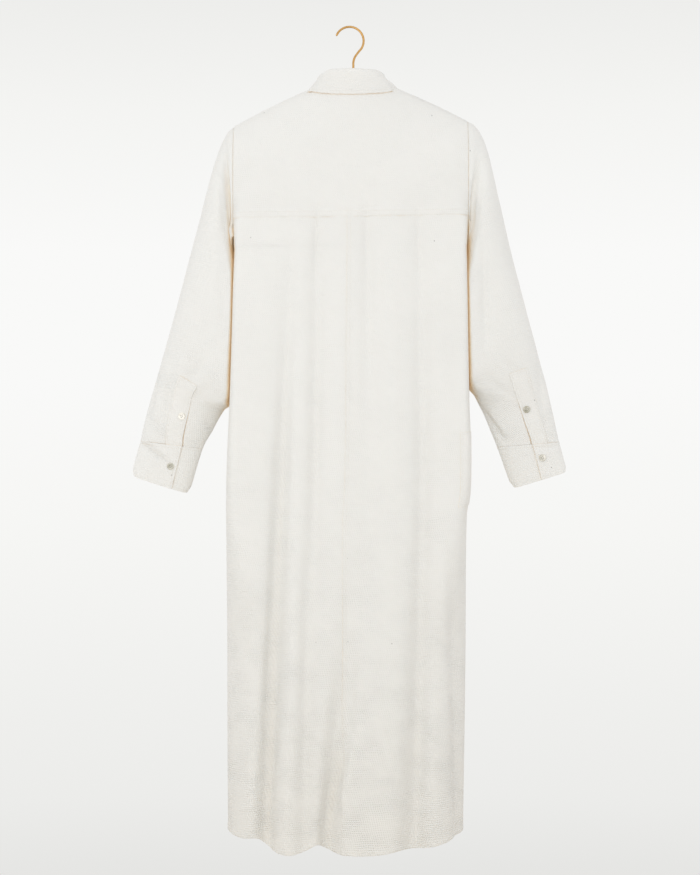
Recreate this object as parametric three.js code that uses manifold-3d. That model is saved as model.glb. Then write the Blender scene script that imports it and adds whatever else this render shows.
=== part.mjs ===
// A long cotton shirt tunic, hanging by its shoulders on a plain hanger with a brass wire hook.
// Units are millimetres and +Z is up. The garment's back faces -Y and its front faces +Y.
// The origin is the inside top of the hook, where a rail or a nail bears.
import * as THREE from 'three';
import { mergeVertices } from 'three/addons/utils/BufferGeometryUtils.js';
import Module from 'manifold-3d';

// Cloth thicknesses, and the clearance that parts two pieces at a seam.
const CLOTH = 1.2;
const DOUBLE_CLOTH = 2.0;
const STRIP_CLOTH = 1.4;
const SEAM_GAP = 0.3;
const LAID_GAP = 0.4;

// Neck hole: an oval, low at the front, with its sides at the inner ends of the shoulder seams.
const NECK = { centre: 3, halfWidth: 65, backDepth: 46, frontDepth: 48 };
const NECK_HEIGHT = { left: -102, right: -98, back: -111, front: -168 };

// Shoulder seams fall from the neck to the armholes. Each armhole is an upright oval, pinched
// narrower towards the underarm.
const ARMHOLE = {
  left: { x: -195, top: -168, bottom: -380, depth: 46, pinch: 0.5 },
  right: { x: 199, top: -158.5, bottom: -374.4, depth: 46, pinch: 0.5 },
};
const SHOULDER_CROWN = 2.5;
const NECK_SHARE = 0.33;

// The yoke's lower seam, a little lower on the left.
const YOKE_SEAM = -321;
const YOKE_SEAM_TILT = 3;

// Body sections: side edges seen from the back, and how far back and front stand from the sides.
const BODY = [
  { z: -321, left: -195, right: 199, back: 56, front: 50 },
  { z: -377, left: -195, right: 199, back: 59, front: 53 },
  { z: -450, left: -198, right: 200.5, back: 63, front: 57 },
  { z: -560, left: -200.5, right: 201.5, back: 68, front: 62 },
  { z: -636, left: -202.5, right: 202.3, back: 72, front: 65 },
  { z: -690, left: -205, right: 204.5, back: 74, front: 67 },
  { z: -745, left: -207.5, right: 205.2, back: 76, front: 69 },
  { z: -790, left: -208.5, right: 204, back: 78, front: 70 },
  { z: -830, left: -208.8, right: 198.5, back: 80, front: 72 },
  { z: -1040, left: -207.7, right: 197.4, back: 87, front: 79 },
  { z: -1200, left: -207.4, right: 195.5, back: 92, front: 84 },
  { z: -1390, left: -206.2, right: 192.3, back: 96, front: 88 },
];

// Shirt-tail hems: high at the side seams, long in the middle.
const BACK_HEM = [
  { x: -207, z: -1359 },
  { x: -180, z: -1363 },
  { x: -152, z: -1363 },
  { x: -130, z: -1381 },
  { x: -100, z: -1386 },
  { x: -74, z: -1380 },
  { x: -52, z: -1370 },
  { x: -28, z: -1382 },
  { x: 0, z: -1385.5 },
  { x: 45, z: -1385 },
  { x: 86, z: -1379 },
  { x: 114, z: -1378 },
  { x: 160, z: -1370 },
  { x: 194, z: -1360 },
];
const FRONT_HEM = [
  { x: -207, z: -1359 },
  { x: -120, z: -1366 },
  { x: 0, z: -1374 },
  { x: 120, z: -1366 },
  { x: 194, z: -1360 },
];

// Hanging folds. Each row is one valley: where it runs at the yoke, half way and at the hem, how
// deep it is there, and its half width. They start at the yoke and open out towards the hem.
const BACK_FOLDS = [
  { top: -60, middle: -64, hem: -80, atTop: 3, atMiddle: 8, atHem: 9, width: 20 },
  { top: 28, middle: 31, hem: 34, atTop: 3, atMiddle: 4, atHem: 0, width: 20 },
  { top: 111, middle: 113, hem: 90, atTop: 4, atMiddle: 9, atHem: 24, width: 23 },
  { top: -108, middle: -123, hem: -150, atTop: 1, atMiddle: 9, atHem: 32, width: 24 },
  { top: -20, middle: -24, hem: -48, atTop: 0, atMiddle: 0, atHem: 58, width: 20 },
];
const FRONT_FOLDS = [
  { top: -118, middle: -128, hem: -140, atTop: 2, atMiddle: 9, atHem: 26, width: 26 },
  { top: -58, middle: -62, hem: -70, atTop: 2, atMiddle: 7, atHem: 16, width: 22 },
  { top: 62, middle: 70, hem: 66, atTop: 3, atMiddle: 8, atHem: 20, width: 22 },
  { top: 122, middle: 130, hem: 132, atTop: 2, atMiddle: 8, atHem: 24, width: 26 },
];
const FOLD_MIDDLE = -840;
const HEM_LEVEL = -1385;

// Sleeve sections from the armhole to the cuff. out and drop place the section's outer end, in and
// fall its inner end, both from the photo's side; back and front are its half depths there, and
// pinch narrows a section towards its inner end, and turn is the angle of the sleeve opening, from
// the outer end round the back.
const SLEEVES = {
  left: [
    { out: -195.3, drop: -168, in: -195.3, fall: -380, back: 46, front: 46, pinch: 0.5, turn: 96 },
    { out: -205, drop: -176, in: -199.5, fall: -391, back: 47, front: 46, pinch: 0.5, turn: 96 },
    { out: -214.5, drop: -192, in: -201.2, fall: -404, back: 39, front: 44, pinch: 0.45, turn: 96 },
    { out: -223, drop: -213, in: -202.4, fall: -424, back: 43, front: 42, pinch: 0.36, turn: 96 },
    { out: -232.5, drop: -243, in: -203, fall: -448, back: 49, front: 42, pinch: 0.24, turn: 96 },
    { out: -249, drop: -306, in: -203.7, fall: -496, back: 50, front: 42, pinch: 0.1, turn: 96 },
    { out: -266, drop: -371, in: -204.4, fall: -540, back: 47, front: 41, pinch: 0, turn: 96 },
    { out: -284, drop: -439, in: -205, fall: -582, back: 43, front: 39, pinch: 0, turn: 96 },
    { out: -302.6, drop: -508, in: -205.6, fall: -618, back: 39, front: 36, pinch: 0, turn: 96 },
    { out: -320.4, drop: -571, in: -206, fall: -641, back: 35, front: 32, pinch: 0, turn: 96 },
    { out: -329.4, drop: -602, in: -213.8, fall: -651, back: 32, front: 29, pinch: 0, turn: 96 },
    { out: -338, drop: -632, in: -224.6, fall: -669, back: 28, front: 26, pinch: 0, turn: 100 },
    { out: -345.8, drop: -661, in: -234.6, fall: -688, back: 25, front: 22, pinch: 0, turn: 103 },
    { out: -351.5, drop: -685, in: -244, fall: -703, back: 22, front: 19, pinch: 0, turn: 107 },
    { out: -355, drop: -702, in: -249.4, fall: -715, back: 20, front: 17, pinch: 0, turn: 111 },
  ],
  right: [
    { out: 199.3, drop: -158.5, in: 199.3, fall: -374.4, back: 46, front: 46, pinch: 0.5, turn: 86 },
    { out: 210, drop: -164.5, in: 203.5, fall: -386, back: 47, front: 46, pinch: 0.5, turn: 86 },
    { out: 221, drop: -177, in: 205.2, fall: -403, back: 40, front: 44, pinch: 0.45, turn: 86 },
    { out: 231, drop: -199, in: 206.4, fall: -424, back: 42, front: 42, pinch: 0.36, turn: 86 },
    { out: 240, drop: -230, in: 207, fall: -448, back: 48, front: 42, pinch: 0.24, turn: 86 },
    { out: 256.7, drop: -305, in: 207.3, fall: -492, back: 49, front: 42, pinch: 0.1, turn: 86 },
    { out: 272, drop: -371, in: 207.6, fall: -530, back: 46, front: 41, pinch: 0, turn: 86 },
    { out: 289, drop: -438, in: 207.7, fall: -565, back: 42, front: 39, pinch: 0, turn: 86 },
    { out: 307, drop: -506, in: 207.6, fall: -595, back: 38, front: 36, pinch: 0, turn: 86 },
    { out: 323.8, drop: -569, in: 208, fall: -614, back: 34, front: 32, pinch: 0, turn: 86 },
    { out: 332.6, drop: -600, in: 217, fall: -635, back: 31, front: 29, pinch: 0, turn: 88 },
    { out: 340.3, drop: -632, in: 228.7, fall: -658, back: 28, front: 26, pinch: 0, turn: 87 },
    { out: 347.3, drop: -663, in: 238.9, fall: -683, back: 25, front: 22, pinch: 0, turn: 86 },
    { out: 352.6, drop: -688, in: 246.5, fall: -701, back: 22, front: 19, pinch: 0, turn: 84 },
    { out: 356.3, drop: -704, in: 250.8, fall: -712, back: 20, front: 17, pinch: 0, turn: 84 },
  ],
};
const SLEEVE_COLUMNS = 24;
const OPENING_ROW = 9;
const OPENING_GAPE = 4.5;

// Cuffs: double cloth bands, the outer end lapped over the inner one at the sleeve opening.
const CUFF_HEM = {
  left: { out: -371.4, drop: -761, in: -273.6, fall: -792, back: 19, front: 17, pinch: 0, turn: 116 },
  right: { out: 370.3, drop: -754, in: 276.6, fall: -783, back: 19, front: 17, pinch: 0, turn: 88 },
};
const CUFF_GAP = 0.6;
const CUFF_ROWS = 3;
const CUFF_STEPS = 26;
const CUFF_LAP = 30;

// Sleeve buttons, in rows and columns of the grids of the sleeve and of the cuff.
const SLEEVE_BUTTON = {
  left: { row: 11.45, column: 23.35, cuffRow: 1.45, cuffColumn: 25.1 },
  right: { row: 11.25, column: 23.4, cuffRow: 1.2, cuffColumn: 25.1 },
};

// Collar: a stand round the neck, and a leaf that rolls over it and falls outside.
const STAND_TOP = { centre: 3, halfWidth: 52, backDepth: 43, frontDepth: 47 };
const STAND_TOP_HEIGHT = { left: -80, right: -78, back: -81, front: -139 };
const COLLAR_STEP = 18;
const STAND_RISE = { back: 0.3, front: 0.9 };
const LEAF_END = 166;
const LEAF = [
  { turn: 0, out: 14, drop: 39, side: 0 },
  { turn: 45, out: 18, drop: 33, side: 0 },
  { turn: 90, out: 28, drop: 21, side: 0 },
  { turn: 108, out: 30, drop: 19, side: 0 },
  { turn: 126, out: 29, drop: 22, side: 4 },
  { turn: 150, out: 20, drop: 42, side: 16 },
  { turn: 166, out: 17, drop: 60, side: 38 },
];
const LEAF_ROLL = [
  { out: -1.2, rise: 2.5 },
  { out: 1.6, rise: 3.2 },
  { out: 4.6, rise: 1.4 },
  { out: 6.6, rise: -3.4 },
];
const LEAF_FALL_ROWS = 3;

// Front opening: its buttons sit at the levels of the front's own sections, on a strip that runs
// on past the last of them. Below it the two halves are joined to the hem.
const BUTTON_LEVELS = [0.22, 1, 1.1, 1.2, 1.3, 1.4, 1.5];
const PLACKET_END = 1.6;
const BUTTON = { radius: 5.8, height: 2.3, rim: 4.6, dish: 0.5, sides: 9 };

// Side pocket: the heights of its opening, and of the foot of its bag.
const POCKET = { top: -688, bottom: -810, bagBottom: -940 };

// Hanger: flat wooden arms under the shoulder seams, and a round brass wire hook.
const HANGER = { thickness: 12, clearance: 3.4, depth: 24, end: 12, bevel: 3, crown: -99, hole: 2.2 };
const HOOK = { wire: 3.8, radius: 24, stem: 6.5, tipTurn: 160, leaveTurn: -48, foot: -120 };

const COTTON = { color: 0xeae8e1, roughness: 0.93, metalness: 0 };
const SHELL_BUTTON = { color: 0xe9e3d4, roughness: 0.3, metalness: 0 };
const BRASS = { color: 0xc39a5b, roughness: 0.32, metalness: 1 };
const BEECH = { color: 0xc9a77c, roughness: 0.6, metalness: 0 };

const wasm = await Module();
wasm.setup();
const group = new THREE.Group();

function addPiece(name, geometry, finish) {
  const material = new THREE.MeshStandardMaterial(finish);
  const mesh = new THREE.Mesh(geometry, material);
  mesh.name = name;
  group.add(mesh);
  return mesh;
}

function lerp(a, b, share) {
  return a + (b - a) * share;
}

function smooth(value) {
  const share = Math.min(1, Math.max(0, value));
  return share * share * (3 - 2 * share);
}

function radians(degrees) {
  return (degrees * Math.PI) / 180;
}

// A column of a table at a value of its key column, on a smooth curve through the rows.
function read(table, key, column, value) {
  const rising = table[1][key] > table[0][key];
  const rows = rising ? table : [...table].reverse();
  const last = rows.length - 1;
  if (value <= rows[0][key]) return rows[0][column];
  if (value >= rows[last][key]) return rows[last][column];
  let i = 0;
  while (rows[i + 1][key] < value) i += 1;
  const slope = (a, b) => (rows[b][column] - rows[a][column]) / (rows[b][key] - rows[a][key]);
  const before = slope(Math.max(0, i - 1), i === 0 ? 1 : i + 1);
  const after = slope(i, Math.min(last, i + 2));
  const span = rows[i + 1][key] - rows[i][key];
  const t = (value - rows[i][key]) / span;
  const start = (1 + 2 * t) * (1 - t) ** 2 * rows[i][column] + t * (1 - t) ** 2 * span * before;
  return start + t * t * (3 - 2 * t) * rows[i + 1][column] - t * t * (1 - t) * span * after;
}

// A closed wall through a grid of outer and inner points. The first weldRows rows are joined
// round, so all rows make a tube, none a panel, and some a tube that is slit below them.
function wallGeometry(outer, inner, weldRows = 0) {
  const rows = outer.length;
  const columns = outer[0].length;
  const last = columns - 1;
  const positions = [];
  const ids = [[], []];
  [outer, inner].forEach((side, k) => {
    side.forEach((row, i) => {
      ids[k].push(
        row.map((point, j) => {
          if (j === last && i < weldRows) return ids.welded;
          positions.push(point.x, point.y, point.z);
          const id = positions.length / 3 - 1;
          if (j === 0) ids.welded = id;
          return id;
        }),
      );
    });
  });
  const [out, back] = ids;
  const faces = [];
  const quad = (a, b, c, d) => faces.push(a, b, c, a, c, d);
  for (let i = 0; i < rows - 1; i += 1) {
    for (let j = 0; j < last; j += 1) {
      quad(out[i][j], out[i + 1][j], out[i + 1][j + 1], out[i][j + 1]);
      quad(back[i][j], back[i][j + 1], back[i + 1][j + 1], back[i + 1][j]);
    }
    if (i + 1 >= weldRows) {
      quad(out[i][0], back[i][0], back[i + 1][0], out[i + 1][0]);
      quad(out[i][last], out[i + 1][last], back[i + 1][last], back[i][last]);
    }
  }
  for (let j = 0; j < last; j += 1) {
    quad(out[0][j], out[0][j + 1], back[0][j + 1], back[0][j]);
    quad(out[rows - 1][j], back[rows - 1][j], back[rows - 1][j + 1], out[rows - 1][j + 1]);
  }
  const geometry = new THREE.BufferGeometry();
  geometry.setAttribute('position', new THREE.Float32BufferAttribute(positions, 3));
  geometry.setIndex(faces);
  return geometry;
}

function moved(point, normal, distance) {
  return point.clone().addScaledVector(normal, distance);
}

// Neck rings: turn 0 is the middle of the back, 90 the right side, 180 the middle of the front.
function ringPoint(size, height, turn) {
  const angle = radians(turn);
  const away = Math.cos(angle);
  const depth = away > 0 ? size.backDepth : size.frontDepth;
  const side = lerp(height.left, height.right, (Math.sin(angle) + 1) / 2);
  const z = away > 0
    ? lerp(side, height.back, away ** 2)
    : lerp(side, height.front, Math.abs(away) ** 1.3);
  return new THREE.Vector3(size.centre + size.halfWidth * Math.sin(angle), -depth * away, z);
}

// The level outward direction of a neck ring.
function ringNormal(size, turn) {
  const angle = radians(turn);
  const depth = Math.cos(angle) > 0 ? size.backDepth : size.frontDepth;
  const normal = new THREE.Vector3(Math.sin(angle) * depth, -Math.cos(angle) * size.halfWidth, 0);
  return normal.normalize();
}

// How far the armhole oval stands from the middle plane at a height.
function armholeDepth(side, z) {
  const hole = ARMHOLE[side];
  const half = (hole.top - hole.bottom) / 2;
  const share = (z - (hole.top + hole.bottom) / 2) / half;
  const narrowed = 1 - (hole.pinch * (1 - share)) / 2;
  return hole.depth * narrowed * Math.sqrt(Math.max(0, 1 - share * share));
}

function yokeLevel(across) {
  return YOKE_SEAM + YOKE_SEAM_TILT * across;
}

// The top edge of back and front: the neck in the middle, the shoulder seams beside it.
function topEdge(face, across) {
  const size = Math.abs(across);
  const side = across < 0 ? 'left' : 'right';
  if (size <= NECK_SHARE) {
    const turn = (across / NECK_SHARE) * 90;
    return ringPoint(NECK, NECK_HEIGHT, face < 0 ? turn : 180 - turn);
  }
  const share = (size - NECK_SHARE) / (1 - NECK_SHARE);
  const start = ringPoint(NECK, NECK_HEIGHT, across < 0 ? -90 : 90);
  const crown = 4 * SHOULDER_CROWN * share * (1 - share);
  const x = lerp(start.x, ARMHOLE[side].x, share);
  return new THREE.Vector3(x, (face * SEAM_GAP) / 2, lerp(start.z, ARMHOLE[side].top, share) + crown);
}

function foldDepth(face, x, z) {
  const folds = face < 0 ? BACK_FOLDS : FRONT_FOLDS;
  const upper = (YOKE_SEAM - z) / (YOKE_SEAM - FOLD_MIDDLE);
  const lower = smooth((FOLD_MIDDLE - z) / (FOLD_MIDDLE - HEM_LEVEL));
  return folds.reduce((sum, fold) => {
    const inUpper = z > FOLD_MIDDLE;
    const middle = inUpper ? lerp(fold.top, fold.middle, upper) : lerp(fold.middle, fold.hem, lower);
    const depth = inUpper
      ? lerp(fold.atTop, fold.atMiddle, Math.max(upper, -0.5))
      : lerp(fold.atMiddle, fold.atHem, lower);
    return sum + Math.max(0, depth) * Math.exp(-(((x - middle) / fold.width) ** 2));
  }, 0);
}

// One horizontal section of the body: across runs from the left side, -1, to the right side, 1.
function sectionPoint(face, across, z) {
  const left = read(BODY, 'z', 'left', z);
  const right = read(BODY, 'z', 'right', z);
  const x = lerp(left, right, (across + 1) / 2);
  const size = Math.abs(across);
  const side = across < 0 ? 'left' : 'right';
  const full = read(BODY, 'z', face < 0 ? 'back' : 'front', z);
  const edge = armholeDepth(side, z);
  const round = lerp(1, 0.5, smooth((YOKE_SEAM - z) / 85));
  const bulge = (full - edge) * Math.max(0, 1 - size ** 3) ** round;
  const fold = foldDepth(face, x, z) * (1 - size ** 6);
  return new THREE.Vector3(x, face * (edge + bulge - fold), z);
}

// The body's outer surface. level runs from the top edge, 0, to the yoke seam, 1, and to the hem, 2.
function bodyPoint(face, across, level) {
  const side = across < 0 ? 'left' : 'right';
  if (level >= 1) {
    const flat = lerp(read(BODY, 'z', 'left', -1200), read(BODY, 'z', 'right', -1200), (across + 1) / 2);
    const hem = read(face < 0 ? BACK_HEM : FRONT_HEM, 'x', 'z', flat);
    return sectionPoint(face, across, lerp(yokeLevel(across), hem, level - 1));
  }
  const top = topEdge(face, across);
  const seam = sectionPoint(face, across, yokeLevel(across));
  const round = Math.sqrt(1 - (1 - level) ** 2);
  const lowEdge = side === 'left' ? yokeLevel(-1) : yokeLevel(1);
  const edge = armholeDepth(side, lerp(ARMHOLE[side].top, lowEdge, level));
  const fuller = edge - round * armholeDepth(side, lowEdge);
  const y = lerp(top.y, seam.y, round) + face * fuller * across ** 4;
  return new THREE.Vector3(lerp(top.x, seam.x, level), y, lerp(top.z, seam.z, level));
}

// The outward direction of the body. On the shoulder seams it has no part across the seam, and on
// the side seams it points straight sideways, so that back and front meet face to face.
function bodyNormal(face, across, level) {
  const step = 0.004;
  const low = level < 1 ? 0 : 1;
  const across0 = Math.max(-1, across - step);
  const across1 = Math.min(1, across + step);
  const level0 = Math.max(low, level - step);
  const level1 = Math.min(low + 1, level + step);
  const right = bodyPoint(face, across1, level).sub(bodyPoint(face, across0, level));
  const down = bodyPoint(face, across, level1).sub(bodyPoint(face, across, level0));
  const normal = down.cross(right).multiplyScalar(-face).normalize();
  const onShoulder = level === 0 && Math.abs(across) >= NECK_SHARE - 0.01;
  const onNeck = level === 0 && !onShoulder;
  const side = across < 0 ? 'left' : 'right';
  const belowArmhole = bodyPoint(face, across, level).z <= ARMHOLE[side].bottom + 1;
  if (onNeck) {
    const turn = (across / NECK_SHARE) * 90;
    return ringNormal(NECK, face < 0 ? turn : 180 - turn);
  }
  if (onShoulder) {
    normal.y = 0;
  }
  if (Math.abs(across) === 1 && belowArmhole) {
    normal.set(across, 0, 0);
  }
  return normal.normalize();
}

// A cloth panel on the body between two distances from its outer surface.
function bodyPanel(face, acrossList, levelList, outside, inside) {
  const order = face < 0 ? acrossList : [...acrossList].reverse();
  const layer = (distance) =>
    levelList.map((level) =>
      order.map((across) => {
        const normal = bodyNormal(face, across, level);
        return moved(bodyPoint(face, across, level), normal, distance);
      }),
    );
  return wallGeometry(layer(outside), layer(inside));
}

const HALF_GAP = SEAM_GAP / 2 / 200;
const YOKE_GAP = SEAM_GAP / 2 / 160;
const BACK_GAP = SEAM_GAP / 2 / 1050;
const SIDE_ROWS = [0.9, 0.96, 0.99, 1];

// Columns of half a panel: one for each step of the collar round the neck, then even ones.
function halfColumns(count) {
  const steps = 90 / COLLAR_STEP;
  const neck = Array.from({ length: steps }, (_, i) => ((i + 1) * NECK_SHARE) / steps);
  const even = Array.from({ length: count }, (_, i) => lerp(NECK_SHARE, SIDE_ROWS[0], (i + 1) / count));
  return [HALF_GAP, ...neck, ...even, ...SIDE_ROWS.slice(1)];
}

function mirrored(list) {
  return [...list].reverse().map((value) => -value);
}

const ARMHOLE_LEVEL = 1 + (yokeLevel(-1) - ARMHOLE.left.bottom) / (yokeLevel(-1) - BACK_HEM[0].z);
const UPPER_LEVELS = [0, 0.03, 0.1, 0.22, 0.42, 0.7];
const LOWER_LEVELS = [
  1.026, ARMHOLE_LEVEL, 1.09, 1.15, 1.22, 1.29, 1.36, 1.41, 1.46, 1.5, 1.57, 1.65, 1.73, 1.8, 1.86,
  1.91, 1.96, 2,
];

const backColumns = halfColumns(8);
const yokeColumns = [...mirrored(backColumns.slice(1)), 0, ...backColumns.slice(1)];
const yokeLevels = [...UPPER_LEVELS, 1 - YOKE_GAP];
const backLevels = [1 + BACK_GAP, ...LOWER_LEVELS];
addPiece('back_yoke', bodyPanel(-1, yokeColumns, yokeLevels, 0, -CLOTH), COTTON);
addPiece('back_left', bodyPanel(-1, mirrored(backColumns), backLevels, 0, -CLOTH), COTTON);
addPiece('back_right', bodyPanel(-1, backColumns, backLevels, 0, -CLOTH), COTTON);

const frontColumns = halfColumns(6);
const frontLower = [1.026, ARMHOLE_LEVEL, 1.1, 1.2, 1.3, 1.4, 1.5, 1.6, 1.7, 1.8, 1.88, 1.94, 2];
const frontLevels = [...UPPER_LEVELS, 1, ...frontLower];
addPiece('front_left', bodyPanel(1, mirrored(frontColumns), frontLevels, 0, -CLOTH), COTTON);
addPiece('front_right', bodyPanel(1, frontColumns, frontLevels, 0, -CLOTH), COTTON);

const laidTop = LAID_GAP + STRIP_CLOTH;
const placketColumns = [-frontColumns[1], 0, frontColumns[1]];
const placketLevels = frontLevels.slice(1).filter((level) => level <= PLACKET_END);
addPiece('front_placket', bodyPanel(1, placketColumns, placketLevels, laidTop, LAID_GAP), COTTON);

// The side pocket: a facing on the back beside the side seam, and a bag inside the front.
function levelAt(z) {
  return 1 + (YOKE_SEAM - z) / (YOKE_SEAM - BACK_HEM[0].z);
}
function levelsBetween(levels, top, bottom) {
  return levels.filter((level) => level > levelAt(top) - 0.02 && level < levelAt(bottom) + 0.02);
}
const pocketLevels = levelsBetween(LOWER_LEVELS, POCKET.top, POCKET.bottom);
const bagLevels = levelsBetween(frontLower, POCKET.top, POCKET.bagBottom);
const facingColumns = [SIDE_ROWS[0], SIDE_ROWS[1], SIDE_ROWS[2]];
const bagColumns = frontColumns.filter((across) => across > 0.4 && across < 0.97);
const bagOut = -CLOTH - LAID_GAP;
addPiece('pocket_facing_right', bodyPanel(-1, facingColumns, pocketLevels, laidTop, LAID_GAP), COTTON);
addPiece('pocket_bag_right', bodyPanel(1, bagColumns, bagLevels, bagOut, bagOut - DOUBLE_CLOTH), COTTON);

// Buttons: a turned disc with a raised rim, laid on its strip and facing along its normal.
function addButton(name, point, normal) {
  const { radius, height, rim, dish, sides } = BUTTON;
  const profile = [
    new THREE.Vector2(0, 0),
    new THREE.Vector2(radius, 0.3),
    new THREE.Vector2(radius, height),
    new THREE.Vector2(rim, height - dish),
    new THREE.Vector2(0, height - dish),
  ];
  const mesh = addPiece(name, new THREE.LatheGeometry(profile, sides), SHELL_BUTTON);
  mesh.position.copy(moved(point, normal, LAID_GAP));
  mesh.quaternion.setFromUnitVectors(new THREE.Vector3(0, 1, 0), normal);
}

// A sleeve or cuff section: angle 0 is its outer end, 90 its back, 180 its inner end.
function sleevePoint(section, angle) {
  const turn = radians(angle);
  const x = lerp(section.in, section.out, (Math.cos(turn) + 1) / 2);
  const z = lerp(section.fall, section.drop, (Math.cos(turn) + 1) / 2);
  const depth = Math.sin(turn) > 0 ? section.back : section.front;
  const narrowed = 1 - (section.pinch * (1 - Math.cos(turn))) / 2;
  return new THREE.Vector3(x, -depth * narrowed * Math.sin(turn), z);
}

function mixSection(a, b, share) {
  return Object.fromEntries(Object.keys(a).map((key) => [key, lerp(a[key], b[key], share)]));
}

// Outward directions at the points of a grid round a sleeve, from its neighbours.
function gridNormals(grid, hand, round) {
  const rows = grid.length;
  const last = grid[0].length - 1;
  return grid.map((row, i) =>
    row.map((point, j) => {
      const before = j > 0 ? row[j - 1] : row[round ? last - 1 : 0];
      const after = j < last ? row[j + 1] : row[round ? 1 : last];
      const above = grid[Math.max(0, i - 1)][j];
      const below = grid[Math.min(rows - 1, i + 1)][j];
      const along = below.clone().sub(above);
      const across = after.clone().sub(before);
      return along.cross(across).multiplyScalar(hand).normalize();
    }),
  );
}

function gridWall(grid, normals, hand, outside, inside, weldRows) {
  const layer = (distance) =>
    grid.map((row, i) => {
      const points = row.map((point, j) => moved(point, normals[i][j], distance));
      return hand > 0 ? points : points.reverse();
    });
  return wallGeometry(layer(outside), layer(inside), weldRows);
}

// A point between the points of a grid.
function gridPoint(grid, row, column) {
  const i = Math.floor(row);
  const j = Math.floor(column);
  const upper = grid[i][j].clone().lerp(grid[i][j + 1], column - j);
  const lower = grid[i + 1][j].clone().lerp(grid[i + 1][j + 1], column - j);
  return upper.lerp(lower, row - i);
}

for (const side of ['left', 'right']) {
  const sections = SLEEVES[side];
  const hand = side === 'left' ? 1 : -1;
  const gape = (row) => (row <= OPENING_ROW ? 0 : (row - OPENING_ROW) / (sections.length - 1 - OPENING_ROW));
  const grid = sections.map((section, i) => {
    const girth = 2.4 * Math.hypot(section.out - section.in, section.drop - section.fall);
    const slit = (gape(i) * OPENING_GAPE * 360) / girth;
    const step = (360 - slit) / SLEEVE_COLUMNS;
    return Array.from({ length: SLEEVE_COLUMNS + 1 }, (_, j) =>
      sleevePoint(section, section.turn + slit + j * step));
  });
  const normals = gridNormals(grid, hand, true);
  normals[0].forEach((normal) => {
    normal.x = 0;
    normal.normalize();
  });
  const wall = gridWall(grid, normals, hand, 0, -CLOTH, OPENING_ROW + 1);
  addPiece(`sleeve_${side}`, wall, COTTON);

  const strip = (rows) => rows.slice(OPENING_ROW).map((row) => row.slice(-3));
  const stripWall = gridWall(strip(grid), strip(normals), hand, laidTop, LAID_GAP, 0);
  addPiece(`sleeve_placket_${side}`, stripWall, COTTON);

  const end = sections[sections.length - 1];
  const top = { ...end, drop: end.drop - CUFF_GAP, fall: end.fall - CUFF_GAP };
  const bottom = CUFF_HEM[side];
  const cuffGrid = Array.from({ length: CUFF_ROWS + 1 }, (_, i) => {
    const section = mixSection(top, bottom, i / CUFF_ROWS);
    return Array.from({ length: CUFF_STEPS + 1 }, (__, j) => {
      const angle = section.turn - CUFF_LAP + ((360 + CUFF_LAP) * j) / CUFF_STEPS;
      return sleevePoint(section, angle);
    });
  });
  const cuffNormals = gridNormals(cuffGrid, hand, false);
  const lifted = cuffGrid.map((row, i) =>
    row.map((point, j) => {
      const lift = smooth((j - 0.78 * CUFF_STEPS) / (0.1 * CUFF_STEPS));
      return moved(point, cuffNormals[i][j], lift * (DOUBLE_CLOTH + 2 * LAID_GAP));
    }),
  );
  const cuffWall = gridWall(lifted, cuffNormals, hand, 0, -DOUBLE_CLOTH, 0);
  addPiece(`cuff_${side}`, cuffWall, COTTON);

  const { row, column, cuffRow, cuffColumn } = SLEEVE_BUTTON[side];
  const stripNormal = gridPoint(normals, row, column).normalize();
  const stripPoint = moved(gridPoint(grid, row, column), stripNormal, laidTop);
  addButton(`button_placket_${side}`, stripPoint, stripNormal);
  const cuffNormal = gridPoint(cuffNormals, cuffRow, cuffColumn).normalize();
  addButton(`button_cuff_${side}`, gridPoint(lifted, cuffRow, cuffColumn), cuffNormal);
}

// The collar stand: a band round the neck whose left end laps over the right one.
const turns = [];
for (let turn = -180; turn <= 180; turn += COLLAR_STEP) {
  turns.push(turn);
}
const standTurns = [-180 - COLLAR_STEP, ...turns, 180 + COLLAR_STEP];
const standGrid = [0, 0.5, 1].map((share) =>
  standTurns.map((turn) => {
    const low = ringPoint(NECK, NECK_HEIGHT, turn);
    const high = ringPoint(STAND_TOP, STAND_TOP_HEIGHT, turn);
    const rise = Math.abs(turn) < 90 ? STAND_RISE.back : STAND_RISE.front;
    return low.lerp(high, share).add(new THREE.Vector3(0, 0, rise * (1 - share)));
  }),
);
const standNormals = standGrid.map(() => standTurns.map((turn) => ringNormal(NECK, turn)));
const standLifted = standGrid.map((row, i) =>
  row.map((point, j) => {
    const lift = standTurns[j] > 150 ? DOUBLE_CLOTH + 2 * LAID_GAP : 0;
    return moved(point, standNormals[i][j], lift);
  }),
);
addPiece('collar_stand', gridWall(standLifted, standNormals, -1, 0, -DOUBLE_CLOTH, 0), COTTON);

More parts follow.
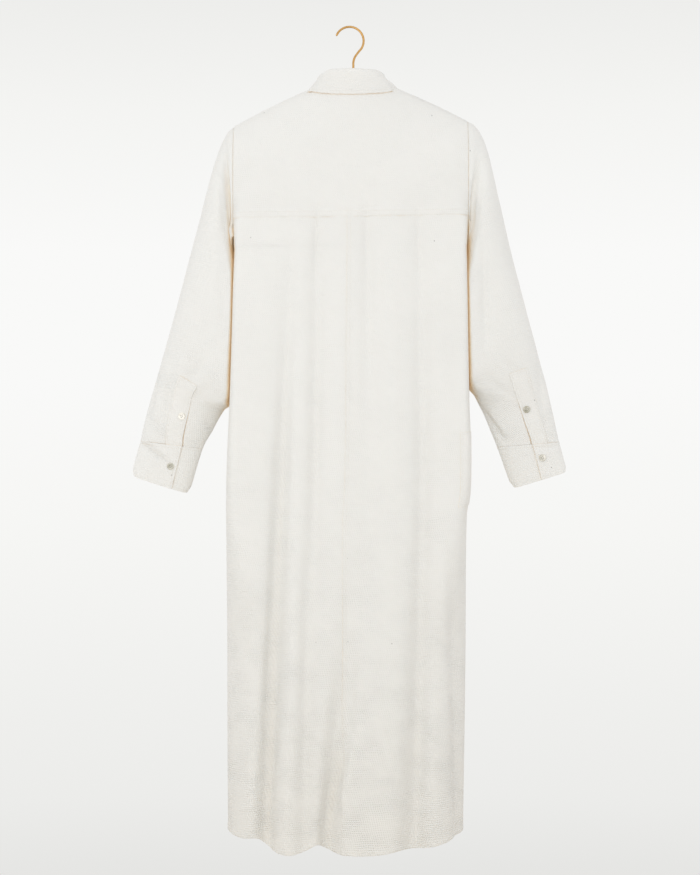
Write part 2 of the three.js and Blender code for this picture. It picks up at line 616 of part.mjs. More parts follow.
// The collar leaf: it rolls over the top of the stand and falls to an edge on back and chest.
const leafGrid = LEAF_ROLL.map(() => []);
for (let row = 1; row <= LEAF_FALL_ROWS; row += 1) {
  leafGrid.push([]);
}
for (const turn of [-LEAF_END, ...turns.slice(1, -1), LEAF_END]) {
  const size = Math.abs(turn);
  const rim = ringPoint(STAND_TOP, STAND_TOP_HEIGHT, turn);
  const outward = ringNormal(STAND_TOP, turn);
  const along = ringPoint(STAND_TOP, STAND_TOP_HEIGHT, turn + 1).sub(rim);
  const steep = along.length() / Math.hypot(along.x, along.y);
  const rolled = LEAF_ROLL.map(({ out, rise }) => {
    return moved(rim, outward, out).add(new THREE.Vector3(0, 0, rise + 3 * (steep - 1)));
  });
  const edge = moved(rim, outward, read(LEAF, 'turn', 'out', size));
  edge.x += Math.sign(turn) * read(LEAF, 'turn', 'side', size);
  edge.z -= read(LEAF, 'turn', 'drop', size);
  rolled.forEach((point, row) => leafGrid[row].push(point));
  const start = rolled[rolled.length - 1];
  for (let row = 1; row <= LEAF_FALL_ROWS; row += 1) {
    leafGrid[rolled.length - 1 + row].push(start.clone().lerp(edge, row / LEAF_FALL_ROWS));
  }
}
const leafNormals = gridNormals(leafGrid, 1, false);
addPiece('collar_leaf', gridWall(leafGrid, leafNormals, 1, 0, -DOUBLE_CLOTH, 0), COTTON);

BUTTON_LEVELS.forEach((level, i) => {
  const normal = bodyNormal(1, 0, level);
  addButton(`button_front_${i + 1}`, moved(bodyPoint(1, 0, level), normal, laidTop), normal);
});

const standNormal = ringNormal(NECK, 180);
const standMiddle = gridPoint(standLifted, 0.9, standTurns.indexOf(180));
addButton('button_stand', standMiddle, standNormal);

// The arms of the hanger: their top follows the shoulder seams, just under the cloth.
const armTop = [];
const armEnd = 1 - HANGER.end / 197;
for (const across of [-armEnd, -0.75, -0.55, -0.38]) {
  const seam = topEdge(-1, across);
  armTop.push(new THREE.Vector2(seam.x, seam.z - HANGER.clearance));
}
for (const [aside, fall] of [[-56, 11], [-32, 5], [-12, 0.6], [12, 0.6], [32, 5], [56, 11]]) {
  armTop.push(new THREE.Vector2(HOOK.stem + aside, HANGER.crown - fall));
}
for (const across of [0.38, 0.55, 0.75, armEnd]) {
  const seam = topEdge(-1, across);
  armTop.push(new THREE.Vector2(seam.x, seam.z - HANGER.clearance));
}
const armBottom = armTop.map(({ x, y }) => {
  const share = Math.abs(x - HOOK.stem) / 200;
  return new THREE.Vector2(x, y - lerp(HANGER.depth * 1.5, HANGER.depth * 0.7, Math.min(1, share)));
});
const armShape = new THREE.Shape([...armTop, ...armBottom.reverse()].reverse());
const armGeometry = new THREE.ExtrudeGeometry(armShape, {
  depth: HANGER.thickness - 2 * HANGER.bevel,
  bevelEnabled: true,
  bevelThickness: HANGER.bevel,
  bevelSize: HANGER.bevel,
  bevelOffset: -HANGER.bevel,
  bevelSegments: 2,
});
armGeometry.rotateX(Math.PI / 2);
armGeometry.translate(0, HANGER.thickness / 2 - HANGER.bevel, 0);

function toSolid(geometry) {
  const bare = geometry.clone();
  bare.deleteAttribute('normal');
  bare.deleteAttribute('uv');
  const merged = mergeVertices(bare.index ? bare.toNonIndexed() : bare, 1e-4);
  return new wasm.Manifold(new wasm.Mesh({
    numProp: 3,
    vertProperties: merged.attributes.position.array,
    triVerts: new Uint32Array(merged.index.array),
  }));
}

function toGeometry(solid) {
  const mesh = solid.getMesh();
  const geometry = new THREE.BufferGeometry();
  geometry.setAttribute('position', new THREE.BufferAttribute(mesh.vertProperties, 3));
  geometry.setIndex(new THREE.BufferAttribute(mesh.triVerts, 1));
  return geometry;
}

const holeDepth = HANGER.crown - HOOK.foot;
const hole = new THREE.CylinderGeometry(HANGER.hole, HANGER.hole, 2 * holeDepth, 12);
hole.rotateX(Math.PI / 2);
hole.translate(HOOK.stem, 0, HANGER.crown);
addPiece('hanger_arms', toGeometry(toSolid(armGeometry).subtract(toSolid(hole))), BEECH);

// The hook: one brass wire, up from the arms, over in a sweep and round to its open tip.
const hookTop = HOOK.wire / 2;
const hookPoints = [
  new THREE.Vector3(HOOK.stem, 0, HOOK.foot + SEAM_GAP),
  new THREE.Vector3(HOOK.stem, 0, HANGER.crown),
  new THREE.Vector3(HOOK.stem, 0, -66),
  new THREE.Vector3(HOOK.stem + 0.3, 0, -57),
  new THREE.Vector3(HOOK.stem + 3, 0, -49),
];
for (let turn = HOOK.leaveTurn; turn <= HOOK.tipTurn; turn += 16) {
  const angle = radians(turn);
  const z = hookTop - HOOK.radius + HOOK.radius * Math.sin(angle);
  hookPoints.push(new THREE.Vector3(HOOK.radius * Math.cos(angle), 0, z));
}
const hookCurve = new THREE.CatmullRomCurve3(hookPoints);
const wireShape = new THREE.Shape();
wireShape.absarc(0, 0, HOOK.wire / 2, 0, 2 * Math.PI, false);
const hookGeometry = new THREE.ExtrudeGeometry(wireShape, {
  extrudePath: hookCurve,
  steps: 38,
  curveSegments: 4,
});
addPiece('hanger_hook', hookGeometry, BRASS);

export default group;
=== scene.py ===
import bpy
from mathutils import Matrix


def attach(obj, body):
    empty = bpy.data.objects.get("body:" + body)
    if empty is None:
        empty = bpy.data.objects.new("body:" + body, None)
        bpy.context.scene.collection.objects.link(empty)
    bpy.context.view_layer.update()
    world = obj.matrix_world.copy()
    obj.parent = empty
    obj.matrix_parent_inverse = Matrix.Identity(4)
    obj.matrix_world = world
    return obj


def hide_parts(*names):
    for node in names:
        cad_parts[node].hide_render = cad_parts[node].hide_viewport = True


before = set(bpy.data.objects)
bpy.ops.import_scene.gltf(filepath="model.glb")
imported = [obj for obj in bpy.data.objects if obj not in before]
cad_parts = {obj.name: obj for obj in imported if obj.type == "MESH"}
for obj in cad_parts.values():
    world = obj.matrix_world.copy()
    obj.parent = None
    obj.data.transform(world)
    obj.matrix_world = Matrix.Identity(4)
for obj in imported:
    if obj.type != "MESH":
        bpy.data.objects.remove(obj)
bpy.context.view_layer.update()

import math

import bmesh
import bpy
import numpy as np
from mathutils import Matrix, Vector, noise

# The view: a camera three metres behind the garment, level with the middle of its back, so that
# the whole length and both sleeves are seen straight on.
MM = 0.001
DISTANCE = 3.0
SEEN_HEIGHT = 1.4875
scene = bpy.context.scene
scene.view_settings.view_transform = "Standard"
lens = bpy.data.cameras.new("view")
lens.sensor_width = 36
lens.lens = lens.sensor_width * DISTANCE / SEEN_HEIGHT
camera = bpy.data.objects.new("view", lens)
camera.location = (0.00085, -DISTANCE, -0.6962)
camera.rotation_euler = (math.radians(90), 0, 0)
scene.collection.objects.link(camera)
scene.camera = camera

# Light: a bright white room all round, palest above eye level and greyer towards the ground, and
# a large soft window on the left, as high as the garment's middle. A weaker lamp on the right keeps
# that side from going grey.


def linear(code):
    """A colour written as sRGB hex, in the linear values that shaders take."""
    parts = [(code >> shift & 255) / 255 for shift in (16, 8, 0)]
    return [c / 12.92 if c <= 0.04045 else ((c + 0.055) / 1.055) ** 2.4 for c in parts] + [1]


def add_node(tree, kind, inputs=None, **settings):
    """A shader node with its settings. Inputs are plain values, or sockets to link from."""
    node = tree.nodes.new("ShaderNode" + kind)
    for name, value in settings.items():
        setattr(node, name, value)
    for name, value in (inputs or {}).items():
        if isinstance(value, bpy.types.NodeSocket):
            tree.links.new(value, node.inputs[name])
        else:
            node.inputs[name].default_value = value
    return node


# The room's tones from low to high, each at its place from 0 to 1.
SKY_TONES = [
    (0.02, 0xE3E3E1), (0.12, 0xECECEA), (0.24, 0xF0F0EE), (0.4, 0xF6F6F4), (0.56, 0xF9F9F8),
    (0.7, 0xF9F9F8), (0.85, 0xF4F4F2), (0.97, 0xEDEDEB),
]
world = bpy.data.worlds.new("white room")
scene.world = world
world.use_nodes = True
tree = world.node_tree
tree.nodes.clear()
toward = add_node(tree, "TexCoord").outputs["Generated"]
height = add_node(tree, "SeparateXYZ", {"Vector": toward}).outputs["Z"]
share = add_node(
    tree, "MapRange", {"Value": height, "From Min": -0.26, "From Max": 0.26}
).outputs["Result"]
tones = add_node(tree, "ValToRGB", {"Fac": share})
while len(tones.color_ramp.elements) < len(SKY_TONES):
    tones.color_ramp.elements.new(0.5)
for element, (place, code) in zip(tones.color_ramp.elements, SKY_TONES):
    element.position = place
    element.color = linear(code)
seen = add_node(tree, "Background", {"Color": tones.outputs["Color"], "Strength": 1.0})
lit = add_node(tree, "Background", {"Color": linear(0xFFFFFF), "Strength": 0.975})
by_camera = add_node(tree, "LightPath").outputs["Is Camera Ray"]
both = add_node(tree, "MixShader", {0: by_camera, 1: lit.outputs[0], 2: seen.outputs[0]})
add_node(tree, "OutputWorld", {"Surface": both.outputs[0]})

# Name, place, aim, width, power and colour, in metres and watts.
LAMPS = [
    ("window", (-0.9, -2.3, -0.5), (0, 0, -0.6), 1.6, 11.5, 0xFFFFFF),
    ("fill", (2.2, -2.6, 0.0), (0, 0, -0.5), 2.4, 4, 0xFFFFFF),
]
for name, place, aim, width, power, code in LAMPS:
    lamp = bpy.data.lights.new(name, "AREA")
    lamp.size = width
    lamp.energy = power
    lamp.color = linear(code)[:3]
    holder = bpy.data.objects.new(name, lamp)
    holder.location = place
    holder.rotation_euler = (Vector(aim) - Vector(place)).to_track_quat("-Z", "Y").to_euler()
    scene.collection.objects.link(holder)

# Floor: a pale painted disc well below the hem, so that light comes back up under the garment.
FLOOR_RADIUS = 1.2
FLOOR_HEIGHT = -1.75
bm = bmesh.new()
bmesh.ops.create_circle(bm, cap_ends=True, segments=64, radius=FLOOR_RADIUS)
mesh = bpy.data.meshes.new("floor")
bm.to_mesh(mesh)
bm.free()
mesh.transform(Matrix.Translation((0, 0, FLOOR_HEIGHT)))
floor = bpy.data.objects.new("floor", mesh)
scene.collection.objects.link(floor)


def new_finish(name):
    """A material with an empty node tree, and that tree."""
    finish = bpy.data.materials.new(name)
    finish.use_nodes = True
    finish.node_tree.nodes.clear()
    return finish, finish.node_tree


# Matt floor paint with a slight unevenness.
paint, tree = new_finish("pale floor paint")
spots = add_node(
    tree, "TexNoise", {"Vector": add_node(tree, "TexCoord").outputs["Object"], "Scale": 3.0}
)
shades = add_node(tree, "ValToRGB", {"Fac": spots.outputs[0]})
shades.color_ramp.elements[0].color = linear(0xC0B299)
shades.color_ramp.elements[1].color = linear(0xCABDA6)
skin = add_node(
    tree, "BsdfPrincipled", {"Base Color": shades.outputs["Color"], "Roughness": 0.7}
)
add_node(tree, "OutputMaterial", {"Surface": skin.outputs[0]})
mesh.materials.append(paint)

# Back yoke: one panel of off-white pebbled cotton from the shoulder seams down to a felled seam,
# where its turned edge is laid over the back and stitched down twice. It is the first piece here,
# so the tables of the body and the ways of shaping and sewing cloth are set out with it.
SEAM = -321
SEAM_TILT = 3
NECK = {"centre": 3, "half_width": 65, "back": 46, "front": 48}
NECK_HEIGHT = {"left": -102, "right": -98, "back": -111, "front": -168}
# How far out the neck reaches, as a share of half the width, and how far the shoulders arch.
NECK_SHARE = 0.33
SHOULDER_CROWN = 2.5
ARMHOLE = {
    "left": {"x": -195, "top": -168, "bottom": -380, "depth": 46, "pinch": 0.12},
    "right": {"x": 199, "top": -158.5, "bottom": -374.4, "depth": 46, "pinch": 0.12},
}
# How boxy an armhole's oval is, and a sleeve's section, in its upper or outer and its other half.
OUTER_POWER, INNER_POWER = 2.4, 5.0
# Height, left edge, right edge, and how far back and front stand from the sides.
BODY = [
    (-321, -195, 199, 56, 50),
    (-377, -195, 199, 59, 53),
    (-450, -198, 200.5, 63, 57),
    (-560, -200.5, 201.5, 68, 62),
    (-636, -202.5, 202.3, 72, 65),
    (-690, -205, 204.5, 74, 67),
    (-745, -207.5, 205.2, 76, 69),
    (-790, -208.5, 204, 78, 70),
    (-830, -208.8, 198.5, 80, 72),
    (-1040, -207.7, 197.4, 87, 79),
    (-1200, -207.4, 195.5, 92, 84),
    (-1390, -206.2, 192.3, 96, 88),
]
# The hems: x and z from the left side seam to the right one.
BACK_HEM = [
    (-207, -1359), (-180, -1363), (-152, -1363), (-130, -1381), (-100, -1386), (-74, -1380),
    (-52, -1370), (-28, -1382), (0, -1385.5), (45, -1385), (86, -1379), (114, -1378),
    (160, -1370), (194, -1360),
]
FRONT_HEM = [(-207, -1359), (-120, -1366), (0, -1374), (120, -1366), (194, -1360)]
# Hanging folds: where a valley runs at the yoke, half way and at the hem, its depths there, and
# its half width.
BACK_FOLDS = [
    (-56, -56, -72, 4, 8, 9, 19),
    (30, 33, 36, 4, 4, 0, 19),
    (116, 122, 106, 5, 9, 24, 22),
    (-102, -116, -138, 1, 10, 27, 20),
    (-10, 6, -34, 0, 0, 22, 18),
]
FRONT_FOLDS = [
    (-118, -128, -140, 2, 9, 26, 26),
    (-58, -62, -70, 2, 7, 16, 22),
    (62, 70, 66, 3, 8, 20, 22),
    (122, 130, 132, 2, 8, 24, 26),
]
FOLD_MIDDLE = -840
HEM_LEVEL = -1385


def lerp(a, b, share):
    return a + (b - a) * share


def smooth(value):
    share = np.clip(value, 0, 1)
    return share * share * (3 - 2 * share)


def read(rows, column, at):
    """A column of a table at values of its first column, on a smooth curve through its rows."""
    table = np.array(sorted(rows), float)
    keys, values = table[:, 0], table[:, column]
    slopes = np.gradient(values, keys)
    slopes[1:-1] = (values[2:] - values[:-2]) / (keys[2:] - keys[:-2])
    at = np.clip(at, keys[0], keys[-1])
    i = np.clip(np.searchsorted(keys, at, side="right") - 1, 0, len(keys) - 2)
    span = keys[i + 1] - keys[i]
    t = (at - keys[i]) / span
    start = (1 + 2 * t) * (1 - t) ** 2 * values[i] + t * (1 - t) ** 2 * span * slopes[i]
    return start + t * t * (3 - 2 * t) * values[i + 1] - t * t * (1 - t) * span * slopes[i + 1]


def ring_point(size, height, turn):
    """Round the neck: turn 0 is the middle of the back, 90 the right side, 180 the front."""
    angle = np.radians(turn)
    away = np.cos(angle)
    depth = np.where(away > 0, size["back"], size["front"])
    side = lerp(height["left"], height["right"], (np.sin(angle) + 1) / 2)
    back = lerp(side, height["back"], away**2)
    front = lerp(side, height["front"], np.abs(away) ** 1.3)
    x = size["centre"] + size["half_width"] * np.sin(angle)
    return np.stack([x, -depth * away, np.where(away > 0, back, front)], -1)


def armhole_depth(across, z):
    """How far the armhole's oval stands from the middle plane."""
    depths = []
    for side in ("left", "right"):
        hole = ARMHOLE[side]
        share = (z - (hole["top"] + hole["bottom"]) / 2) / ((hole["top"] - hole["bottom"]) / 2)
        narrowed = 1 - hole["pinch"] * (1 - share) / 2
        power = np.where(share < 0, INNER_POWER, OUTER_POWER)
        depths.append(hole["depth"] * narrowed * np.sqrt(np.maximum(0, 1 - np.abs(share) ** power)))
    return np.where(across < 0, depths[0], depths[1])


def fold_depth(face, x, z):
    upper = (SEAM - z) / (SEAM - FOLD_MIDDLE)
    lower = smooth((FOLD_MIDDLE - z) / (FOLD_MIDDLE - HEM_LEVEL))
    total = 0
    for top, middle, hem, at_top, at_middle, at_hem, width in BACK_FOLDS if face < 0 else FRONT_FOLDS:
        place = np.where(z > FOLD_MIDDLE, lerp(top, middle, upper), lerp(middle, hem, lower))
        above = lerp(at_top, at_middle, np.maximum(upper, -0.5))
        depth = np.where(z > FOLD_MIDDLE, above, lerp(at_middle, at_hem, lower))
        total = total + np.maximum(0, depth) * np.exp(-(((x - place) / width) ** 2))
    return total


def section_point(face, across, z):
    x = lerp(read(BODY, 1, z), read(BODY, 2, z), (across + 1) / 2)
    size = np.abs(across)
    edge = armhole_depth(across, z)
    round_off = lerp(1, 0.5, smooth((SEAM - z) / 85))
    # Beside the sleeves the cloth stays flat nearly to the side seam.
    beside_sleeve = smooth((SEAM + 25 - z) / 60) * smooth((z + 1150) / 560) ** 2
    flatness = 4.2 + 66 * beside_sleeve
    reach = read(BODY, 3 if face < 0 else 4, z)
    bulge = (reach - edge) * np.maximum(0, 1 - size**flatness) ** round_off
    return np.stack([x, face * (edge + bulge - fold_depth(face, x, z) * (1 - size**6)), z], -1)


def body_point(face, across, level):
    """The body's outer side. Level runs from the top edge, 0, to the yoke seam, 1, and the hem, 2."""
    across, level = np.broadcast_arrays(np.asarray(across, float), np.asarray(level, float))
    seam_level = SEAM + SEAM_TILT * across
    flat = lerp(read(BODY, 1, -1200), read(BODY, 2, -1200), (across + 1) / 2)
    hem = read(BACK_HEM if face < 0 else FRONT_HEM, 1, flat)
    below = section_point(face, across, lerp(seam_level, hem, level - 1))

    turn = across / NECK_SHARE * 90
    neck = ring_point(NECK, NECK_HEIGHT, turn if face < 0 else 180 - turn)
    ends = ring_point(NECK, NECK_HEIGHT, np.where(across < 0, -90, 90))
    share = np.clip((np.abs(across) - NECK_SHARE) / (1 - NECK_SHARE), 0, 1)
    hole_x = np.where(across < 0, ARMHOLE["left"]["x"], ARMHOLE["right"]["x"])
    hole_top = np.where(across < 0, ARMHOLE["left"]["top"], ARMHOLE["right"]["top"])
    crown = 4 * SHOULDER_CROWN * share * (1 - share)
    shoulder = np.stack(
        [lerp(ends[..., 0], hole_x, share), 0 * share, lerp(ends[..., 2], hole_top, share) + crown], -1
    )
    top = np.where((np.abs(across) <= NECK_SHARE)[..., None], neck, shoulder)
    seam = section_point(face, across, seam_level)
    level_in = np.clip(level, 0, 1)
    rounded = np.sqrt(1 - (1 - level_in) ** 2)
    low = SEAM + np.where(across < 0, -SEAM_TILT, SEAM_TILT)
    edge = armhole_depth(across, lerp(hole_top, low, level_in))
    fuller = edge - rounded * armhole_depth(across, low)
    above = lerp(top, seam, level_in[..., None])
    above[..., 1] = lerp(top[..., 1], seam[..., 1], rounded) + face * fuller * across**4
    return np.where((level >= 1)[..., None], below, above)


def grid_normals(points, tube=False):
    """Outward directions of a grid of points, whose rows run down and columns to the right."""
    after, before = np.roll(points, -1, 1), np.roll(points, 1, 1)
    after[:, -1] = points[:, 1 if tube else -1]
    before[:, 0] = points[:, -2 if tube else 0]
    below = np.concatenate([points[1:], points[-1:]])
    above = np.concatenate([points[:1], points[:-1]])
    normals = np.cross(below - above, after - before)
    return normals / np.maximum(np.linalg.norm(normals, axis=2, keepdims=True), 1e-9)


def lengths(points, axis):
    """Lengths of cloth from the first row, or the first column, of a grid."""
    steps = np.linalg.norm(np.diff(points, axis=axis), axis=2)
    return np.insert(np.cumsum(steps, axis=axis), 0, 0, axis=axis)


def on_cloth(points, grain):
    """Where each point lies on the flat cloth: across and along the grain. Without a grain
    direction, the rows and columns of the grid are taken as the threads."""
    if grain is None:
        return lengths(points, 1), lengths(points, 0)
    grain = np.array(grain, float) / np.linalg.norm(grain)
    along = points @ grain
    beside = points - along[..., None] * grain
    across = np.cross((0, 1, 0), grain)
    start = (beside[:, :1] @ across) * np.sign((beside[:, 1:2] - beside[:, :1]) @ across)
    return start + lengths(beside, 1), along - along.min()


def edges(points):
    """How far each point of a grid lies from the top, bottom, left and right edge of the cloth."""
    down, over = lengths(points, 0), lengths(points, 1)
    return {"top": down, "bottom": down[-1:] - down, "left": over, "right": over[:, -1:] - over}


def ripple(points, size, depth, seed, stretch=1.0):
    """Soft uneven waves all over, of a size in mm. A stretch over 1 draws them out upright."""
    flat = (points / size).reshape(-1, 3)
    waves = [noise.noise((x + seed * 7.3, y - seed * 3.1, z / stretch + seed)) for x, y, z in flat]
    return depth * np.array(waves).reshape(points.shape[:2])


def creases(points, table, face=0):
    """Creases: rise (a trough is under 0), half width, and the line it runs, x and z.
    Each fades at its ends. With a face, it is kept off the other side of the piece."""
    x, z = points[..., 0], points[..., 2]
    relief = np.zeros(x.shape)
    for rise, width, *line in table:
        line = np.array(line, float)
        runs = np.linalg.norm(np.diff(line, axis=0), axis=1)
        starts = np.insert(np.cumsum(runs), 0, 0)
        nearest = np.full(x.shape, 1e9)
        along = np.zeros(x.shape)
        for (x0, z0), (x1, z1), run, start in zip(line[:-1], line[1:], runs, starts):
            share = np.clip(((x - x0) * (x1 - x0) + (z - z0) * (z1 - z0)) / run**2, 0, 1)
            distance = np.hypot(x - lerp(x0, x1, share), z - lerp(z0, z1, share))
            closer = distance < nearest
            nearest = np.where(closer, distance, nearest)
            along = np.where(closer, (start + share * run) / starts[-1], along)
        fade = np.sin(np.pi * np.clip(along, 0.02, 0.98)) ** 0.8
        relief += rise * fade * np.exp(-((nearest / width) ** 2))
    return relief if face == 0 else np.where(points[..., 1] * face > 0, relief, 0)


def calm(points):
    """1 over the body, and 0 at its side edges and on the shoulders, where pieces meet."""
    x, y, z = points[..., 0], points[..., 1], points[..., 2]
    edge = np.minimum(x - read(BODY, 1, z), read(BODY, 2, z) - x)
    return smooth(edge / 15) * smooth(np.abs(y) / 10)


def band(distance, width, rise, soft=1.2, roll=0.45):
    """A turned edge: thicker cloth for a width from the edge, rolled down at the edge itself."""
    return rise * smooth((width + soft - distance) / soft) - roll * np.exp(-((distance / 0.7) ** 2))


def sewn(distance, place, seed, points):
    """The shallow groove of a row of stitches, drawn in unevenly, with small puckers beside it."""
    beside = np.exp(-(((distance - place) / 9) ** 2))
    groove = 0.28 * np.exp(-(((distance - place) / 0.9) ** 2))
    return beside * ripple(points, 9, 0.75, seed) - groove


def steps(length, step, ends=(0.8, 1.8, 3.2, 5.0)):
    """Places from 0 to 1 along a length, fine at both ends for turned edges."""
    middle = np.linspace(ends[-1], length - ends[-1], max(2, round((length - 2 * ends[-1]) / step) + 1))
    start = [0.0, *ends[:-1]]
    return np.array([*start, *middle, *[length - place for place in reversed(start)]]) / length


# Off-white cotton in a small pebbled dobby weave, matt with a faint bloom: raised pebbles between
# slanting rows 4.6 and 5.6 mm apart, and a few dark seed flecks left in the yarn. Its threads, about
# 0.3 mm thick, are drawn about 1 mm wide, because finer ones don't show in the render.
PEBBLE_ROWS = ((52, 4.6), (-38, 5.6))
# Painted shade: the share of red, green and blue left of the cloth's colour deep in a fold, darker and
# warmer.
PAINTED_FOLD_SHADE = (1.12, 0.88, 0.6, 1)


def cotton_cloth(name, code):
    cloth, tree = new_finish(name)
    place = add_node(tree, "UVMap", uv_map="cloth").outputs["UV"]
    drift = add_node(tree, "TexNoise", {"Vector": place, "Scale": 55.0, "Detail": 1.0})
    centred = add_node(
        tree, "VectorMath", {0: drift.outputs["Color"], 1: (0.5, 0.5, 0.5)}, operation="SUBTRACT"
    )
    pull = add_node(
        tree, "VectorMath", {0: centred.outputs[0], "Scale": 0.0042}, operation="SCALE"
    )
    moved = add_node(tree, "VectorMath", {0: place, 1: pull.outputs[0]}, operation="ADD")
    slants = []
    for turn, pitch in PEBBLE_ROWS:
        slant = add_node(
            tree, "Mapping", {"Vector": moved.outputs[0], "Rotation": (0, 0, math.radians(turn))}
        )
        side = add_node(tree, "SeparateXYZ", {"Vector": slant.outputs[0]}).outputs["X"]
        turns = add_node(
            tree, "Math", {0: side, 1: 2 * math.pi / (pitch * MM)}, operation="MULTIPLY"
        )
        slants.append(add_node(tree, "Math", {0: turns.outputs[0]}, operation="SINE").outputs[0])
    pebbles = add_node(tree, "Math", {0: slants[0], 1: slants[1]}, operation="MULTIPLY").outputs[0]
    patches = add_node(tree, "TexNoise", {"Vector": place, "Scale": 24.0, "Detail": 2.0}).outputs[0]
    strength = add_node(
        tree, "MapRange",
        {"Value": patches, "From Min": 0.3, "From Max": 0.7, "To Min": 0.35, "To Max": 1.0},
    ).outputs["Result"]
    # The weave stands out more towards the hem.
    along = add_node(tree, "SeparateXYZ", {"Vector": place}).outputs["Y"]
    worn = add_node(
        tree, "MapRange",
        {"Value": along, "From Min": 0.3, "From Max": 0.95, "To Min": 0.7, "To Max": 1.85},
    ).outputs["Result"]
    strength = add_node(tree, "Math", {0: strength, 1: worn}, operation="MULTIPLY").outputs[0]
    uneven = add_node(tree, "Math", {0: pebbles, 1: strength}, operation="MULTIPLY").outputs[0]
    threads = []
    for scale in ((55.0, 900.0, 1.0), (750.0, 60.0, 1.0)):
        drawn = add_node(tree, "Mapping", {"Vector": place, "Scale": scale})
        threads.append(
            add_node(tree, "TexNoise", {"Vector": drawn.outputs[0], "Scale": 1.0, "Detail": 1.0}).outputs[0]
        )
    weave = add_node(tree, "Math", {0: threads[0], 1: threads[1]}, operation="ADD").outputs[0]
    thick = add_node(
        tree, "Bump", {"Strength": 1.0, "Distance": 0.00028, "Height": uneven}
    ).outputs["Normal"]
    fine = add_node(
        tree, "Bump", {"Strength": 1.0, "Distance": 0.00024, "Height": weave, "Normal": thick}
    ).outputs["Normal"]
    shade = add_node(
        tree, "MapRange",
        {"Value": uneven, "From Min": -1.0, "From Max": 1.0, "To Min": 0.955, "To Max": 1.015},
    ).outputs["Result"]
    broad = add_node(tree, "TexNoise", {"Vector": place, "Scale": 7.0, "Detail": 3.0}).outputs[0]
    wide = add_node(
        tree, "MapRange",
        {"Value": broad, "From Min": 0.3, "From Max": 0.7, "To Min": 0.985, "To Max": 1.01},
    ).outputs["Result"]
    seeds = add_node(
        tree, "TexVoronoi", {"Vector": place, "Scale": 14.0}, voronoi_dimensions="2D"
    )
    few = add_node(tree, "SeparateXYZ", {"Vector": seeds.outputs["Color"]}).outputs["X"]
    size = add_node(
        tree, "MapRange",
        {"Value": few, "From Min": 0.9, "From Max": 1.0, "To Min": 0.0, "To Max": 0.016},
    ).outputs["Result"]
    inside = add_node(
        tree, "Math", {0: seeds.outputs["Distance"], 1: size}, operation="LESS_THAN"
    ).outputs[0]
    fleck = add_node(
        tree, "MapRange", {"Value": inside, "To Min": 1.0, "To Max": 0.6}
    ).outputs["Result"]
    tone = add_node(tree, "Math", {0: shade, 1: wide}, operation="MULTIPLY").outputs[0]
    tone = add_node(tree, "Math", {0: tone, 1: fleck}, operation="MULTIPLY").outputs[0]
    dye_and_painted_shade = add_node(
        tree, "VectorMath", {0: linear(code)[:3], "Scale": tone}, operation="SCALE"
    ).outputs[0]
    # Painted shade: deep in folds and seams, where ambient occlusion is low, the cloth's colour is darkened
    # and warmed. This stands in for light that has gone from cloth to cloth.
    open_to_light = add_node(tree, "AmbientOcclusion", {"Distance": 0.022}, samples=4).outputs["AO"]
    fold_shade_tint = add_node(tree, "ValToRGB", {"Fac": open_to_light})
    fold_shade_tint.color_ramp.elements[0].position = 0.1
    fold_shade_tint.color_ramp.elements[0].color = PAINTED_FOLD_SHADE
    fold_shade_tint.color_ramp.elements[1].position = 0.62
    fold_shade_tint.color_ramp.elements[1].color = linear(0xFFFFFF)
    dye_and_painted_shade = add_node(
        tree, "VectorMath", {0: dye_and_painted_shade, 1: fold_shade_tint.outputs["Color"]}, operation="MULTIPLY"
    ).outputs[0]
    # Painted glow: where the cloth is most enclosed it gives off a dim warm light, standing in for light
    # soaking through the cloth. That glow is all the deepest creases show.
    painted_glow = add_node(tree, "ValToRGB", {"Fac": open_to_light})
    painted_glow.color_ramp.elements[0].position = 0.0
    painted_glow.color_ramp.elements[0].color = linear(0x524D42)
    painted_glow.color_ramp.elements[1].position = 0.24
    painted_glow.color_ramp.elements[1].color = linear(0x000000)
    skin = add_node(
        tree,
        "BsdfPrincipled",
        {"Base Color": dye_and_painted_shade, "Roughness": 0.92, "Specular IOR Level": 0.25, "Sheen Weight": 0.12,
         "Sheen Roughness": 0.6, "Normal": fine, "Emission Color": painted_glow.outputs["Color"],
         "Emission Strength": 1.0},
    )
    # Light from behind comes through the thin cloth, warmer for passing the yarn.
    through = add_node(tree, "BsdfTranslucent", {"Color": linear(0xF3E4C8), "Normal": fine})
    thin = add_node(tree, "MixShader", {0: 0.12, 1: skin.outputs[0], 2: through.outputs[0]})
    add_node(tree, "OutputMaterial", {"Surface": thin.outputs[0]})
    return cloth


COTTON = cotton_cloth("off-white pebbled cotton", 0xEBEDEB)


